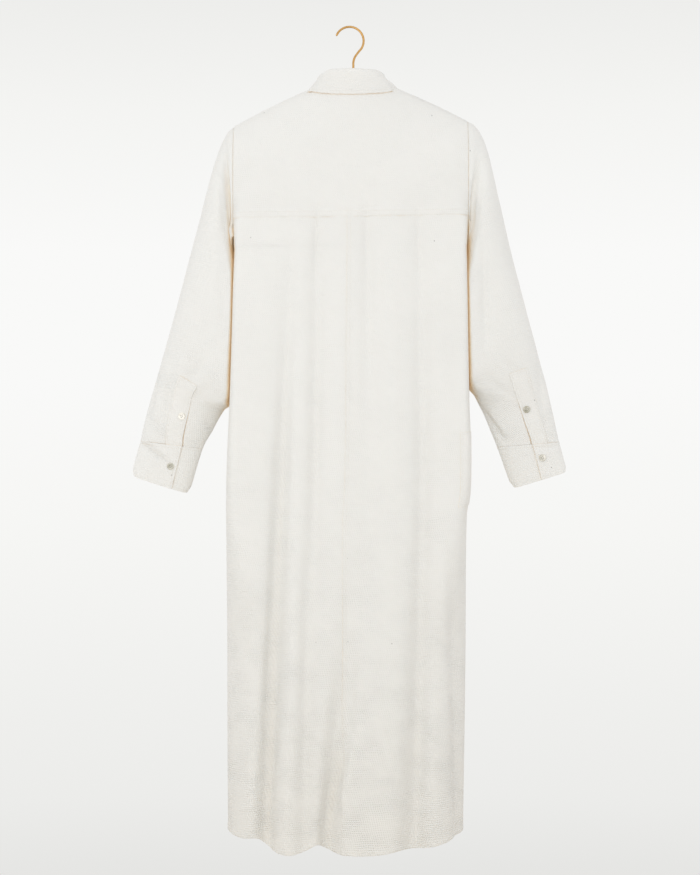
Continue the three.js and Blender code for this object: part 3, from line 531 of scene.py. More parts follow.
def add_cloth(name, node, points, relief, thickness=0.9, grain=(0, 0, -1), tube=0):
    """A piece of cloth through a grid of points, raised or sunk by relief. It starts as a flat
    grid, is laid on its form, and for the first rows of a tube is joined round."""
    rows, columns = points.shape[:2]
    shaped = points + grid_normals(points, tube > 0) * np.asarray(relief)[..., None]
    over, down = (side * MM for side in on_cloth(points, grain))
    bm = bmesh.new()
    bmesh.ops.create_grid(bm, x_segments=columns - 1, y_segments=rows - 1, size=1)
    cloth = bm.loops.layers.uv.new("cloth")
    places = {}
    for vert in bm.verts:
        i = round((1 - vert.co.y) / 2 * (rows - 1))
        j = round((1 + vert.co.x) / 2 * (columns - 1))
        places[vert] = (i, j)
        vert.co = shaped[i, j] * MM
    for face in bm.faces:
        face.smooth = True
        for loop in face.loops:
            i, j = places[loop.vert]
            loop[cloth].uv = (over[i, j], down[i, j])
    if tube:
        first = {i: vert for vert, (i, j) in places.items() if j == 0}
        last = {vert: first[i] for vert, (i, j) in places.items() if j == columns - 1 and i < tube}
        bmesh.ops.weld_verts(bm, targetmap=last)
    for edge in bm.edges:
        edge.smooth = not edge.is_boundary
    mesh = bpy.data.meshes.new(name)
    bm.to_mesh(mesh)
    bm.free()
    mesh.materials.append(COTTON)
    piece = bpy.data.objects.new(name, mesh)
    scene.collection.objects.link(piece)
    shell = piece.modifiers.new("thickness", "SOLIDIFY")
    shell.thickness = thickness * MM
    shell.offset = -1
    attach(piece, "root")
    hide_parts(node)
    return piece, shaped


def edge_path(shaped, edge, inset):
    """A line of points and outward directions on the cloth, at a distance in from one edge."""
    normals = grid_normals(shaped)
    turned = {"top": (0, 1), "bottom": (0, -1), "left": (1, 1), "right": (1, -1)}[edge]
    if turned[0]:
        shaped, normals = shaped.swapaxes(0, 1), normals.swapaxes(0, 1)
    shaped, normals = shaped[:: turned[1]], normals[:: turned[1]]
    down = lengths(shaped, 0)
    rows = np.arange(len(down))
    place = np.array([np.interp(inset, column, rows) for column in down.T])
    i = np.minimum(place.astype(int), len(down) - 2)
    j = np.arange(down.shape[1])
    share = (place - i)[:, None]
    return lerp(shaped[i, j], shaped[i + 1, j], share), lerp(normals[i, j], normals[i + 1, j], share)


# Sewing thread: cotton too, a shade brighter than the cloth.
THREAD, tree = new_finish("cotton sewing thread")
twist = add_node(
    tree, "TexWave",
    {"Vector": add_node(tree, "TexCoord").outputs["Object"], "Scale": 1400.0},
    bands_direction="DIAGONAL",
)
shades = add_node(tree, "ValToRGB", {"Fac": twist.outputs["Fac"]})
shades.color_ramp.elements[0].color = linear(0xDCD9D0)
shades.color_ramp.elements[1].color = linear(0xEEECE5)
skin = add_node(
    tree, "BsdfPrincipled", {"Base Color": shades.outputs["Color"], "Roughness": 0.7}
)
add_node(tree, "OutputMaterial", {"Surface": skin.outputs[0]})


def add_stitches(name, paths, pitch=3.1, length=2.3, radius=0.26):
    """Rows of single stitches, each a small rounded length of thread lying on the cloth."""
    bm = bmesh.new()
    for points, normals in paths:
        runs = np.linalg.norm(np.diff(points, axis=0), axis=1)
        along = np.insert(np.cumsum(runs), 0, 0)
        for middle in np.arange(pitch, along[-1] - pitch / 2, pitch):
            start, end, at, up = (
                Vector([np.interp(place, along, source[:, k]) for k in range(3)])
                for place, source in (
                    (middle - length / 2, points), (middle + length / 2, points),
                    (middle, points), (middle, normals),
                )
            )
            run = (end - start).normalized()
            side = up.cross(run).normalized()
            up = run.cross(side)
            turn = Matrix((run, side, up)).transposed().to_4x4()
            size = Matrix.Diagonal((length / 2 * MM, radius * MM, radius * 0.8 * MM, 1))
            matrix = Matrix.Translation((at + up * 0.1) * MM) @ turn @ size
            bmesh.ops.create_icosphere(bm, subdivisions=1, radius=1, matrix=matrix)
    for face in bm.faces:
        face.smooth = True
    mesh = bpy.data.meshes.new(name)
    bm.to_mesh(mesh)
    bm.free()
    mesh.materials.append(THREAD)
    piece = bpy.data.objects.new(name, mesh)
    scene.collection.objects.link(piece)
    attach(piece, "root")
    return piece


# Creases: rise, half width, and points of the line each runs, x and z.
YOKE_CREASES = [
    (-0.9, 7, (-150, -190), (-120, -230), (-96, -262)),
    (0.7, 8, (-120, -170), (-80, -215), (-60, -250)),
    (-0.8, 6, (110, -150), (84, -190), (70, -235)),
    (-0.9, 7, (160, -190), (140, -230), (120, -280)),
    (-0.6, 6, (-40, -140), (-30, -180), (-34, -230)),
    (-0.5, 9, (-20, -150), (10, -190), (30, -240)),
]
BACK_CREASES = [
    (-2.6, 4, (-55, -300), (-55, -332), (-56, -370), (-57, -440)),
    (-5.5, 10, (-54, -300), (-54, -480), (-56, -700), (-62, -960)),
    (-2.2, 5, (27, -300), (28, -350), (29, -430)),
    (-4.0, 11, (28, -300), (30, -430), (32, -640)),
    (-2.2, 5, (114, -300), (115, -352), (116, -430)),
    (-6.0, 11, (116, -300), (119, -500), (121, -760), (116, -1100), (112, -1400)),
    (-10.0, 11, (-98, -380), (-112, -760), (-129, -1080), (-142, -1500)),
    (-9.0, 11, (168, -860), (178, -1100), (184, -1300), (186, -1480)),
    (-5.0, 10, (-68, -860), (-72, -1100), (-76, -1440)),
    (-7.0, 11, (8, -1040), (0, -1184), (-28, -1284), (-48, -1440)),
    (2.0, 11, (-88, -800), (-96, -1060), (-104, -1340)),
    (2.0, 12, (72, -360), (74, -700), (70, -1050)),
    (1.6, 12, (-16, -340), (-18, -560), (-20, -820)),
    (1.6, 12, (150, -360), (152, -600), (148, -900)),
    (-1.2, 7, (6, -1110), (18, -1140), (30, -1175)),
    (-0.9, 6, (0, -1120), (12, -1150), (22, -1180)),
    (-1.1, 6, (-10, -1262), (-2, -1300), (8, -1345)),
    (-0.9, 7, (36, -1140), (60, -1190), (78, -1250)),
    (-0.8, 7, (40, -1210), (64, -1260), (80, -1300)),
    (0.7, 4, (-188, -1310), (-172, -1312), (-156, -1308)),
    (-1.0, 9, (-110, -640), (-124, -760), (-130, -860)),
    (-0.8, 8, (150, -420), (142, -520), (150, -640)),
    (0.8, 9, (-92, -420), (-96, -560), (-104, -700)),
    (0.7, 8, (72, -380), (66, -520), (72, -660)),
    (-0.7, 6, (-184, -420), (-172, -460), (-166, -520)),
    (-0.8, 6, (184, -400), (170, -440), (166, -500)),
]
# The turned edge reaches 6 mm below the seam, on the levels of the body below it.
OVER_SEAM = 6 / 1050
levels = 1 - np.cos(np.linspace(0, math.pi / 2, 54))
levels = np.array([
    *levels[levels < 0.94], 0.945, 0.955, 0.962, 0.969, 0.978, 0.99, 1.0,
    1 + OVER_SEAM * 0.5, 1 + OVER_SEAM * 0.86, 1 + OVER_SEAM,
])
sides = steps(400, 3.0)
base = body_point(-1, *np.meshgrid(sides * 2 - 1, levels))
# The kink of the top edge, where the neck meets the shoulders, fades out in the cloth below it.
eased = base.copy()
for _ in range(160):
    eased[:, 1:-1] = (eased[:, :-2] + 2 * eased[:, 1:-1] + eased[:, 2:]) / 4
base = lerp(base, eased, (smooth(levels / 0.05) * smooth((1 - levels) / 0.3))[:, None, None])
near = edges(base)
relief = (
    band(near["bottom"], 11, 1.0, 2.5)
    + band(np.minimum(near["left"], near["right"]), 6, 0.3, 2.5, 0.1)
    + sewn(near["bottom"], 1.6, 3, base)
    + sewn(near["bottom"], 9.5, 4, base)
    + calm(base) * smooth(near["top"] / 15) * (
        ripple(base, 60, 0.9, 1)
        + ripple(base, 22, 0.3, 2)
        + creases(base, YOKE_CREASES)
        + smooth((levels[:, None] - 0.9) / 0.1) * creases(base, BACK_CREASES)
    )
)
yoke, yoke_shape = add_cloth("yoke_cloth", "back_yoke", base, relief)
yoke_stitches = add_stitches(
    "yoke_stitches",
    [edge_path(yoke_shape, "bottom", 1.6), edge_path(yoke_shape, "bottom", 9.5)],
)

# Back: two long halves of the same cotton, hanging from the yoke in soft folds that deepen
# towards the hem. They meet in a narrow felled seam, the right half over the left one.
SEAM_ACROSS = -0.013
UNDER_LAP, OVER_LAP = 0.016, 0.018
BACK_LENGTH = 1062
BACK_TOP = 0.966
FELL_WIDTH = 7.4


def back_relief(points, near):
    below = near["bottom"]
    return (
        band(below, 6, 0.5)
        + sewn(below, 5, 5, points)
        + calm(points) * (
            ripple(points, 60, 1.0, 6, 4.0)
            + ripple(points, 22, 0.35, 7, 3.0)
            + creases(points, BACK_CREASES)
        )
    )


# The halves start above the yoke's seam, under its edge.
levels = BACK_TOP + (2 - BACK_TOP) * steps(BACK_LENGTH, 5.0)
for side, start, end in (("left", -1, SEAM_ACROSS + UNDER_LAP), ("right", SEAM_ACROSS - OVER_LAP, 1)):
    across = lerp(start, end, steps(200, 2.8))
    base = body_point(-1, *np.meshgrid(across, levels))
    near = edges(base)
    relief = back_relief(base, near)
    if side == "right":
        relief = relief + 0.8 * smooth((FELL_WIDTH - near["left"]) / 2.4)
        relief = relief + sewn(near["left"], 5.6, 8, base)
    else:
        relief = relief - 0.5 * smooth((5 - near["right"]) / 2)
    outer = near["left" if side == "left" else "right"]
    relief = relief + band(outer, 4, 0.2, 1.2, 0.2)
    piece, shape = add_cloth(f"back_{side}_cloth", f"back_{side}", base, relief)
    paths = [edge_path(shape, "bottom", 5)]
    if side == "right":
        paths += [edge_path(shape, "left", 1.4), edge_path(shape, "left", 5.6)]
    stitching = add_stitches(f"back_{side}_stitches", paths)

# Front: two long halves, plain, hanging from the shoulder seams. Their middle edges lie under the
# button strip, and below it they are seamed together.
FRONT_CREASES = [
    (-1.0, 9, (-128, -640), (-134, -760), (-128, -880)),
    (-0.9, 8, (70, -420), (78, -540), (74, -660)),
    (0.8, 9, (-92, -420), (-96, -560), (-90, -700)),
    (0.7, 8, (100, -500), (104, -620), (98, -740)),
    (-0.9, 7, (-160, -210), (-130, -260), (-104, -300)),
    (-0.9, 7, (158, -200), (132, -250), (110, -300)),
    (-0.8, 6, (-182, -420), (-168, -460), (-160, -530)),
    (-0.8, 6, (184, -410), (172, -450), (164, -520)),
    (-0.9, 6, (-40, -1130), (-28, -1170), (-14, -1210)),
    (-0.8, 6, (36, -1180), (52, -1220), (66, -1270)),
]
upper = 1 - np.cos(np.linspace(0, math.pi / 2, 40))
lower = 1 + steps(1060, 6.0)[4:]
levels = np.array([*upper[:-1], 0.994, *lower])


def front_relief(points, near):
    return (
        band(near["bottom"], 6, 0.5)
        + sewn(near["bottom"], 5, 15, points)
        + calm(points) * (
            ripple(points, 60, 1.0, 16, 4.0)
            + ripple(points, 22, 0.35, 17, 3.0)
            + creases(points, FRONT_CREASES)
        )
    )


for side, start, end in (("left", 0, -1), ("right", 1, 0)):
    across = lerp(start, end, steps(200, 3.2))
    base = body_point(1, *np.meshgrid(across, levels))
    near = edges(base)
    relief = front_relief(base, near)
    piece, shape = add_cloth(f"front_{side}_cloth", f"front_{side}", base, relief)
    stitching = add_stitches(f"front_{side}_stitches", [edge_path(shape, "bottom", 5)])

# Button strip: a folded band of the same cotton, sewn down the middle of the front from the neck to
# the thigh with two rows of stitches.
STRIP_TOP, STRIP_END, STRIP_SHARE = 0.03, 1.6, 0.066
levels = lerp(STRIP_TOP, STRIP_END, steps(800, 5.0))
across = lerp(STRIP_SHARE, -STRIP_SHARE, steps(26, 2.0))
base = body_point(1, *np.meshgrid(across, levels))
near = edges(base)
sides_near = np.minimum(near["left"], near["right"])
ground = base + grid_normals(base) * front_relief(base, {"bottom": base[..., 2] * 0 + 99})[..., None]
relief = 1.7 + band(sides_near, 3, 0.2) + sewn(sides_near, 4, 21, base)
strip, strip_shape = add_cloth("button_strip", "front_placket", ground, relief, 1.2)
stitching = add_stitches(
    "strip_stitches", [edge_path(strip_shape, "left", 4), edge_path(strip_shape, "right", 4)]
)

# Side pocket on the right: a facing sewn beside the side seam of the back, and a bag of double
# cotton behind the front.
SIDE_SHARES = (0.9, 0.99)
BAG_SHARES = (0.95, 0.42)
POCKET_HEIGHTS = (-688, -810, -940)
top, bottom, foot = (1 + (SEAM - z) / (SEAM - BACK_HEM[0][1]) for z in POCKET_HEIGHTS)
base = body_point(
    -1, *np.meshgrid(lerp(*SIDE_SHARES, steps(24, 2.0)), lerp(top, bottom, steps(122, 4.0)))
)
near = edges(base)
closest = np.minimum.reduce([near["left"], near["top"], near["bottom"]])
ground = base + grid_normals(base) * back_relief(base, {"bottom": base[..., 2] * 0 + 99})[..., None]
relief = 1.0 + band(closest, 3, 0.15, 1.2, 0.3) + sewn(closest, 3.4, 23, base)
facing, facing_shape = add_cloth("pocket_facing", "pocket_facing_right", ground, relief, 0.9)
stitching = add_stitches(
    "pocket_stitches",
    [edge_path(facing_shape, edge, 3.4) for edge in ("left", "top", "bottom")],
)

# The bag hangs 3.6 mm inside the front.
base = body_point(
    1, *np.meshgrid(lerp(*BAG_SHARES, steps(110, 6.0)), lerp(top, foot, steps(250, 6.0)))
)
bag, _ = add_cloth("pocket_bag", "pocket_bag_right", base, -3.6 + ripple(base, 50, 0.6, 24), 1.6)

# Sleeves: wide tubes set into the armholes, tapering to the wrists. A slit at the back of each
# wrist is bound with a strip that carries one button.
# Ends of each section: outer end x and z, inner end x and z, then the half depths of back and
# front, how far it is pinched at its inner end, and the angle of the slit.
SLEEVES = {
    "left": [
        (-194.2, -168, -194.2, -380, 46, 46, 0.12, 96),
        (-205, -176, -199.5, -391, 47, 46, 0.12, 96),
        (-214.5, -192, -201.2, -404, 44, 44, 0.12, 96),
        (-223, -213, -202.4, -424, 46, 42, 0.02, 96),
        (-232.5, -243, -203, -448, 50, 42, -0.06, 96),
        (-249, -306, -203.7, -496, 50, 42, -0.12, 96),
        (-266, -371, -204.4, -540, 48, 41, -0.16, 96),
        (-284, -439, -205, -582, 46, 39, -0.2, 96),
        (-302.6, -508, -205.6, -618, 43, 36, -0.22, 96),
        (-320.4, -571, -206, -641, 38, 32, -0.12, 96),
        (-329.4, -602, -213.8, -651, 34, 29, 0, 96),
        (-338, -632, -224.6, -669, 28, 26, 0, 100),
        (-345.8, -661, -234.6, -688, 25, 22, 0, 103),
        (-351.5, -685, -244, -703, 22, 19, 0, 107),
        (-355, -702, -249.4, -715, 20, 17, 0, 111),
    ],
    "right": [
        (198.2, -158.5, 198.2, -374.4, 46, 46, 0.12, 86),
        (210, -164.5, 203.5, -386, 47, 46, 0.12, 86),
        (221, -177, 205.2, -403, 44, 44, 0.12, 86),
        (231, -199, 206.4, -424, 46, 42, 0.02, 86),
        (240, -230, 207, -448, 50, 42, -0.06, 86),
        (256.7, -305, 207.3, -492, 50, 42, -0.12, 86),
        (272, -371, 207.6, -530, 48, 41, -0.16, 86),
        (289, -438, 207.7, -565, 46, 39, -0.2, 86),
        (307, -506, 207.6, -595, 43, 36, -0.22, 86),
        (323.8, -569, 208, -614, 38, 32, -0.12, 86),
        (332.6, -600, 217, -635, 34, 29, 0, 88),
        (340.3, -632, 228.7, -658, 28, 26, 0, 87),
        (347.3, -663, 238.9, -683, 25, 22, 0, 86),
        (352.6, -688, 246.5, -701, 22, 19, 0, 84),
        (356.3, -704, 250.8, -712, 20, 17, 0, 84),
    ],
}
# The same for the lower edge of each cuff.
CUFF_HEM = {
    "left": (-371.4, -761, -273.6, -792, 19, 17, 0, 116),
    "right": (370.3, -754, 276.6, -783, 19, 17, 0, 88),
}
# The row of the sleeve where the slit starts, how wide it gapes, and the cuff's lap in degrees.
SLIT_ROW = 9
SLIT_GAPE = 2.2
CUFF_LAP = 30
SLEEVE_CREASES = {
    "left": [
        (-7.0, 3.2, (-209, -196), (-207, -248), (-202, -300), (-198, -345), (-196, -392)),
        (-2.0, 8, (-214, -300), (-212, -350), (-208, -400)),
        (-1.6, 7, (-214, -420), (-212, -470), (-214, -540)),
        (-1.4, 6, (-236, -676), (-226, -684), (-214, -692)),
        (-1.3, 5, (-246, -664), (-238, -676), (-228, -690)),
        (-3.5, 6, (-326, -560), (-334, -620), (-342, -690)),
        (-3.0, 6, (-296, -560), (-306, -630), (-316, -696)),
        (-1.4, 8, (-238, -560), (-262, -590), (-290, -612)),
        (-1.2, 7, (-222, -600), (-250, -625), (-278, -640)),
        (1.0, 7, (-230, -580), (-256, -608), (-284, -626)),
        (-1.0, 8, (-250, -330), (-240, -400), (-232, -470)),
        (-1.0, 8, (-276, -420), (-262, -480), (-246, -540)),
    ],
    "right": [
        (-4.0, 4, (219, -222), (211, -260), (206, -300), (205, -350)),
        (-6.5, 5, (221, -646), (244, -677), (265, -707)),
        (1.2, 5, (230, -652), (250, -672), (266, -694)),
        (-1.4, 8, (240, -540), (262, -570), (290, -600)),
        (-1.2, 7, (226, -590), (252, -615), (280, -630)),
        (-1.0, 8, (252, -330), (244, -400), (236, -470)),
        (-5.0, 8, (221, -370), (226, -466), (230, -560)),
        (-3.0, 6, (316, -560), (324, -620), (332, -690)),
    ],
}
CUFF_CREASES = {
    "left": [
        (-7.0, 4.5, (-368, -690), (-330, -721), (-294, -748)),
        (-0.8, 5, (-280, -712), (-262, -718)),
    ],
    "right": [
        (-0.8, 5, (250, -704), (275, -702), (300, -700)),
        (-1.6, 3.5, (310, -716), (334, -714), (356, -712)),
    ],
}


def oval_point(section, angle, fullness=OUTER_POWER, inner_fullness=INNER_POWER, lap=0):
    """A point of a sleeve section: angle 0 is its outer end, 90 its back, 180 its inner end. A
    fullness over 2 gives it flatter faces. Lap is how far its back leans over the body's edge."""
    out, drop, inner, fall, back, front, pinch = section[:7]
    aside, deep = np.cos(np.radians(angle)), np.sin(np.radians(angle))
    outer = (aside + 1) / 2
    depth = np.where(deep > 0, back, front) * (1 - pinch * (1 - outer))
    fullness = np.where(aside < 0, inner_fullness, fullness)
    y = -depth * np.sign(deep) * np.sqrt(1 - np.abs(aside) ** fullness)
    x = lerp(inner, out, outer) + lap * smooth((-y - 17) / 28) * smooth(1 - outer / 0.4)
    return np.stack([x, y, lerp(fall, drop, outer)], -1)


def sleeve_point(side, row, column):
    """A point of a sleeve at a row of its table and at a column from 0 to 24 round it."""
    table = [(i, *section) for i, section in enumerate(SLEEVES[side])]
    out, drop, inner, fall, back, front, pinch, turn = (read(table, k, row) for k in range(1, 9))
    girth = 2.4 * np.hypot(out - inner, drop - fall)
    slit = np.maximum(0, row - SLIT_ROW) / 5 * SLIT_GAPE * 360 / girth
    angle = turn + slit + column / 24 * (360 - slit)
    # Below the armhole the hanging sleeve lies flat and close against the side of the body.
    inward = -1 if side == "right" else 1
    settled = smooth((row - 1.5) / 2.5)
    touching = read(BODY, 2 if side == "right" else 1, fall) - 0.6 * inward
    inner = lerp(inner, touching, smooth((row - 0.1) / 0.9) * smooth((9.6 - row) / 0.8))
    wrist = smooth((row - 8.2) / 2.2)
    lap = 4.0 * inward * smooth((row - 0.7) / 0.9) * smooth((9.4 - row) / 1.4)
    fullness = OUTER_POWER + 0.6 * settled - 0.4 * wrist
    inner_fullness = INNER_POWER + 15 * settled - 17.4 * wrist
    section = (out, drop, inner, fall, back, front, pinch)
    return oval_point(section, angle, fullness, inner_fullness, lap)


def sleeve_relief(side, points, row):
    soft = smooth(row / 1.2)
    folded = smooth(np.abs(points[..., 1]) / 10)
    return folded * smooth((14 - row) / 0.5) * (
        soft * ripple(points, 55, 1.2, 31, 1.8)
        + soft * ripple(points, 20, 0.4, 32)
        + creases(points, SLEEVE_CREASES[side])
        + smooth((row - 12) / 2) * ripple(points, 13, 1.0, 33, 2.5)
    )


# The slit's strip: heights along it, and the sleeve's rows there.
STRIP_LENGTHS = [0, 30, 60, 92, 122, 148]
STRIP_ROWS = [9, 10, 11, 12.2, 13.3, 14]
strips, cuff_shapes = {}, {}
for side in ("left", "right"):
    section_places = [oval_point(np.array(s, float), np.array(0.0)) for s in SLEEVES[side]]
    run = np.insert(np.cumsum(np.linalg.norm(np.diff(section_places, axis=0), axis=1)), 0, 0)
    rows = np.interp(steps(run[-1], 4.2) * run[-1], run, np.arange(15))
    columns = np.linspace(0, 24, 145)
    columns = columns if side == "left" else columns[::-1]
    column, row = np.meshgrid(columns, rows)
    base = sleeve_point(side, row, column)
    tube = int(np.sum(rows <= SLIT_ROW))
    near = edges(base)
    # Its head is sewn in under the edges of the yoke and the body.
    relief = sleeve_relief(side, base, row) - 1.1 * smooth(1 - near["top"] / 3.5)
    grain = (-0.26 if side == "left" else 0.25, 0, -0.966)
    sleeve, shape = add_cloth(
        f"sleeve_{side}_cloth", f"sleeve_{side}", base, relief, 0.9, grain, tube
    )
    stitching = add_stitches(f"sleeve_{side}_stitches", [edge_path(shape, "top", 3)])

    # The strip that binds the slit, laid on the sleeve's lapping edge.
    strip_rows = np.interp(steps(148, 4.0) * 148, STRIP_LENGTHS, STRIP_ROWS)
    strip_columns = np.array(
        [*lerp(22, 23.97, steps(24, 2.0)), 24.0, 24.05, 24.12, 24.3, 24.6, 24.9]
    )
    strip_columns = strip_columns if side == "left" else strip_columns[::-1]
    column, row = np.meshgrid(strip_columns, strip_rows)
    base = sleeve_point(side, row, column)
    ground = base + grid_normals(base) * sleeve_relief(side, base, row)[..., None]
    # Its inner fold turns under the other lip, and closes the slit from behind.
    near = edges(base)
    sewn_side, fold_side = ("left", "right") if side == "left" else ("right", "left")
    fold_line = near[fold_side][:, -7:-6] if side == "left" else near[fold_side][:, 6:7]
    over = near[fold_side] - fold_line
    closest = np.minimum.reduce([near[sewn_side], near["top"], np.maximum(over, 0) + 0.8])
    tucked = 3.6 * smooth((column - 24) / 0.1)
    relief = 1.5 + band(closest, 3, 0.2) + sewn(closest, 3.2, 36, base) - tucked
    binding, binding_shape = add_cloth(
        f"slit_strip_{side}", f"sleeve_placket_{side}", ground, relief, 1.1, grain
    )
    strips[side] = binding_shape
    on_top = binding_shape[:, :-6] if side == "left" else binding_shape[:, 6:]
    stitching = add_stitches(
        f"slit_stitches_{side}", [edge_path(on_top, edge, 3.2) for edge in ("left", "right", "top")]
    )

    # The cuff: a double band, its end lapped over at the slit and edge-stitched all round.
    end = np.array(SLEEVES[side][-1], float)
    end[[1, 3]] -= 0.25
    share = steps(76, 3.6)[:, None]
    turn_share = steps(270, 3.2)[None, :]
    turn_share = turn_share if side == "left" else turn_share[:, ::-1]
    section = [lerp(a, b, share) for a, b in zip(end, CUFF_HEM[side])]
    angle = section[7] - CUFF_LAP + (360 + CUFF_LAP) * turn_share
    base = oval_point([part + 0 * angle for part in section[:7]], angle, 2.6, 2.6)
    # The lower corners are rounded off where the band is folded.
    corner = smooth((share - 0.75) / 0.25) ** 2 * np.abs(np.cos(np.radians(angle))) ** 12
    corner = np.where(np.cos(np.radians(angle)) < 0, 0.6 * corner, corner)
    base[..., 2] += 5 * corner
    base[..., 0] = lerp(base[..., 0], (section[0] + section[2]) / 2, 0.09 * corner)
    near = edges(base)
    lift = 2.3 * smooth((turn_share * 26 - 20.28) / 2.6)
    closest = np.minimum.reduce([near["left"], near["right"], near["top"], near["bottom"]])
    free = np.minimum.reduce([near["left"], near["right"], near["bottom"]])
    relief = (
        0.2 + lift + band(free, 4, 0.2) + sewn(closest, 4.5, 41, base)
        + smooth(near["top"] / 8) * ripple(base, 40, 0.9, 42)
        + smooth(near["top"] / 5) * creases(base, CUFF_CREASES[side], -1)
    )
    cuff, cuff_shape = add_cloth(f"cuff_{side}_cloth", f"cuff_{side}", base, relief, 1.8, grain)
    stitching = add_stitches(
        f"cuff_{side}_stitches",
        [edge_path(cuff_shape, edge, 4.5) for edge in ("top", "bottom", "left", "right")],
    )
    cuff_shapes[side] = (cuff_shape, angle, share)

# Collar: a double band that stands round the neck, its left end lapped over its right one, and a
# leaf that rolls over the band and falls outside it, edge-stitched 5 mm in.
STAND_TOP = {"centre": 3, "half_width": 52, "back": 43, "front": 47}
STAND_TOP_HEIGHT = {"left": -80, "right": -78, "back": -81, "front": -139}
# Round the neck: the turn, how far out the leaf's edge stands, how far down, and how far aside.
LEAF = [
    (-166, 17, 60, -38), (-150, 20, 42, -16), (-126, 29, 25, -4), (-108, 30, 23, 0), (-90, 26, 25, 0),
    (-76, 22, 33.5, 0), (-62, 17.5, 36, 0), (-40, 14, 36.5, 0), (0, 10.5, 40.5, 0), (40, 14, 37, 0),
    (62, 18.5, 37.5, 0), (76, 26, 36, 0), (90, 33, 25.6, 0), (108, 33, 22, 0), (126, 30, 23, 4),
    (150, 20, 42, 16), (166, 17, 60, 38),
]
# The arc of the leaf's edge where it lies on the yoke, x and z.
LEAF_ARC = [
    (-71, -112.5), (-62, -113.5), (-49, -116.9), (-28, -120.3), (4, -121.4), (30, -120.4),
    (60, -116.2), (71, -113),
]
# How the leaf rolls over the stand's rim: out and up from it.
LEAF_ROLL = [(-1.2, 2.5), (1.6, 3.2), (4.6, 1.4), (6.6, -3.4)]
# The leaf's rows: one a quarter of each step down, and closer towards its sewn edge.
LEAF_PLACES = np.array([
    *np.arange(0, 3, 0.25), 3, 3.3, 3.6, 4, 4.4, 4.8, 5.1, 5.35, 5.55, 5.7, 5.82, 5.91, 5.97, 6,
])


def through(rows, places):
    """A smooth curve through rows of points, at places counted in rows."""
    slopes = np.gradient(rows, axis=0)
    i = np.clip(places.astype(int), 0, len(rows) - 2)
    t = (places - i).reshape(-1, *[1] * (rows.ndim - 1))
    return (
        (1 + 2 * t) * (1 - t) ** 2 * rows[i] + t * (1 - t) ** 2 * slopes[i]
        + t * t * (3 - 2 * t) * rows[i + 1] - t * t * (1 - t) * slopes[i + 1]
    )


def stand_top(turn):
    """The rim of the stand, which drops off rounded at the sides of the neck."""
    rim = ring_point(STAND_TOP, STAND_TOP_HEIGHT, turn)
    aside = np.sin(np.radians(turn))
    rim[..., 2] -= np.where(aside < 0, 5.5, 3.5) * smooth((np.abs(aside) - 0.66) / 0.34)
    return rim


def ring_normal(size, turn):
    angle = np.radians(turn)
    depth = np.where(np.cos(angle) > 0, size["back"], size["front"])
    outward = np.stack([np.sin(angle) * depth, -np.cos(angle) * size["half_width"], 0 * depth], -1)
    return outward / np.linalg.norm(outward, axis=-1, keepdims=True)


turn = lerp(-198, 198, steps(440, 4.0))
stand_turns = turn
share = (1 - steps(32, 3.0))[:, None, None]
low = ring_point(NECK, NECK_HEIGHT, turn)
high = stand_top(turn)
base = lerp(low, high, share)
base[..., 2] += np.where(np.abs(turn) < 90, 0.3, 0.9) * (1 - share[..., 0])
near = edges(base)
lift = 2.8 * smooth((turn - 144) / 10)
outward = ring_normal(NECK, turn) * lift[:, None]
relief = sewn(near["bottom"], 3, 51, base) + band(np.minimum(near["left"], near["right"]), 3, 0.2)
stand, stand_shape = add_cloth("collar_band", "collar_stand", base + outward, relief, 1.8, None)
stitching = add_stitches("band_stitches", [edge_path(stand_shape, "bottom", 3)])

turn = lerp(-166, 166, steps(420, 3.4))
rim = stand_top(turn)
along = stand_top(turn + 1) - rim
steep = np.linalg.norm(along, axis=-1) / np.hypot(along[:, 0], along[:, 1])
outward = ring_normal(STAND_TOP, turn)
rows = []
for out, rise in LEAF_ROLL:
    row = rim + outward * out
    row[:, 2] += rise + 3 * (steep - 1)
    rows.append(row)
edge = rim + outward * read(LEAF, 1, turn)[:, None]
edge[:, 0] += read(LEAF, 3, turn)
edge[:, 2] -= read(LEAF, 2, turn)
# At the back its edge lies on the yoke, along a shallow arc.
resting = smooth((92 - np.abs(turn)) / 16)
low_x = np.clip(3 + 74 * np.sin(np.radians(turn)), -71, 71)
low_z = read(LEAF_ARC, 1, low_x)
yoke_points, yoke_normals = yoke_shape.reshape(-1, 3), grid_normals(yoke_shape).reshape(-1, 3)
for k in np.flatnonzero(resting > 0):
    gaps = np.hypot(yoke_points[:, 0] - low_x[k], yoke_points[:, 2] - low_z[k])
    nearest = np.argsort(gaps)[:6]
    weights = 1 / (gaps[nearest] + 0.5)
    on_yoke = (yoke_points[nearest] * weights[:, None]).sum(0) / weights.sum()
    edge[k] = lerp(edge[k], on_yoke + yoke_normals[nearest[0]] * 2.0, resting[k])
rows += [lerp(rows[3], edge, k / 3) for k in (1, 2, 3)]
base = through(np.array(rows), LEAF_PLACES)
near = edges(base)
closest = np.minimum.reduce([near["left"], near["right"], near["bottom"]])
relief = (
    band(closest, 4.6, 0.2, 1.2, 0.3)
    + sewn(closest, 5, 52, base)
    + smooth(near["bottom"] / 12) * ripple(base, 30, 0.8, 53)
)
leaf, leaf_shape = add_cloth("collar_leaf_cloth", "collar_leaf", base, relief, 1.5, None)
stitching = add_stitches(
    "leaf_stitches", [edge_path(leaf_shape, edge, 5) for edge in ("bottom", "left", "right")]
)

# Buttons: turned discs of river shell with a raised rim and four holes, sewn on with thread.
SHELL, tree = new_finish("polished river shell")
place = add_node(tree, "TexCoord").outputs["Object"]
clouds = add_node(tree, "TexNoise", {"Vector": place, "Scale": 160.0, "Detail": 3.0})
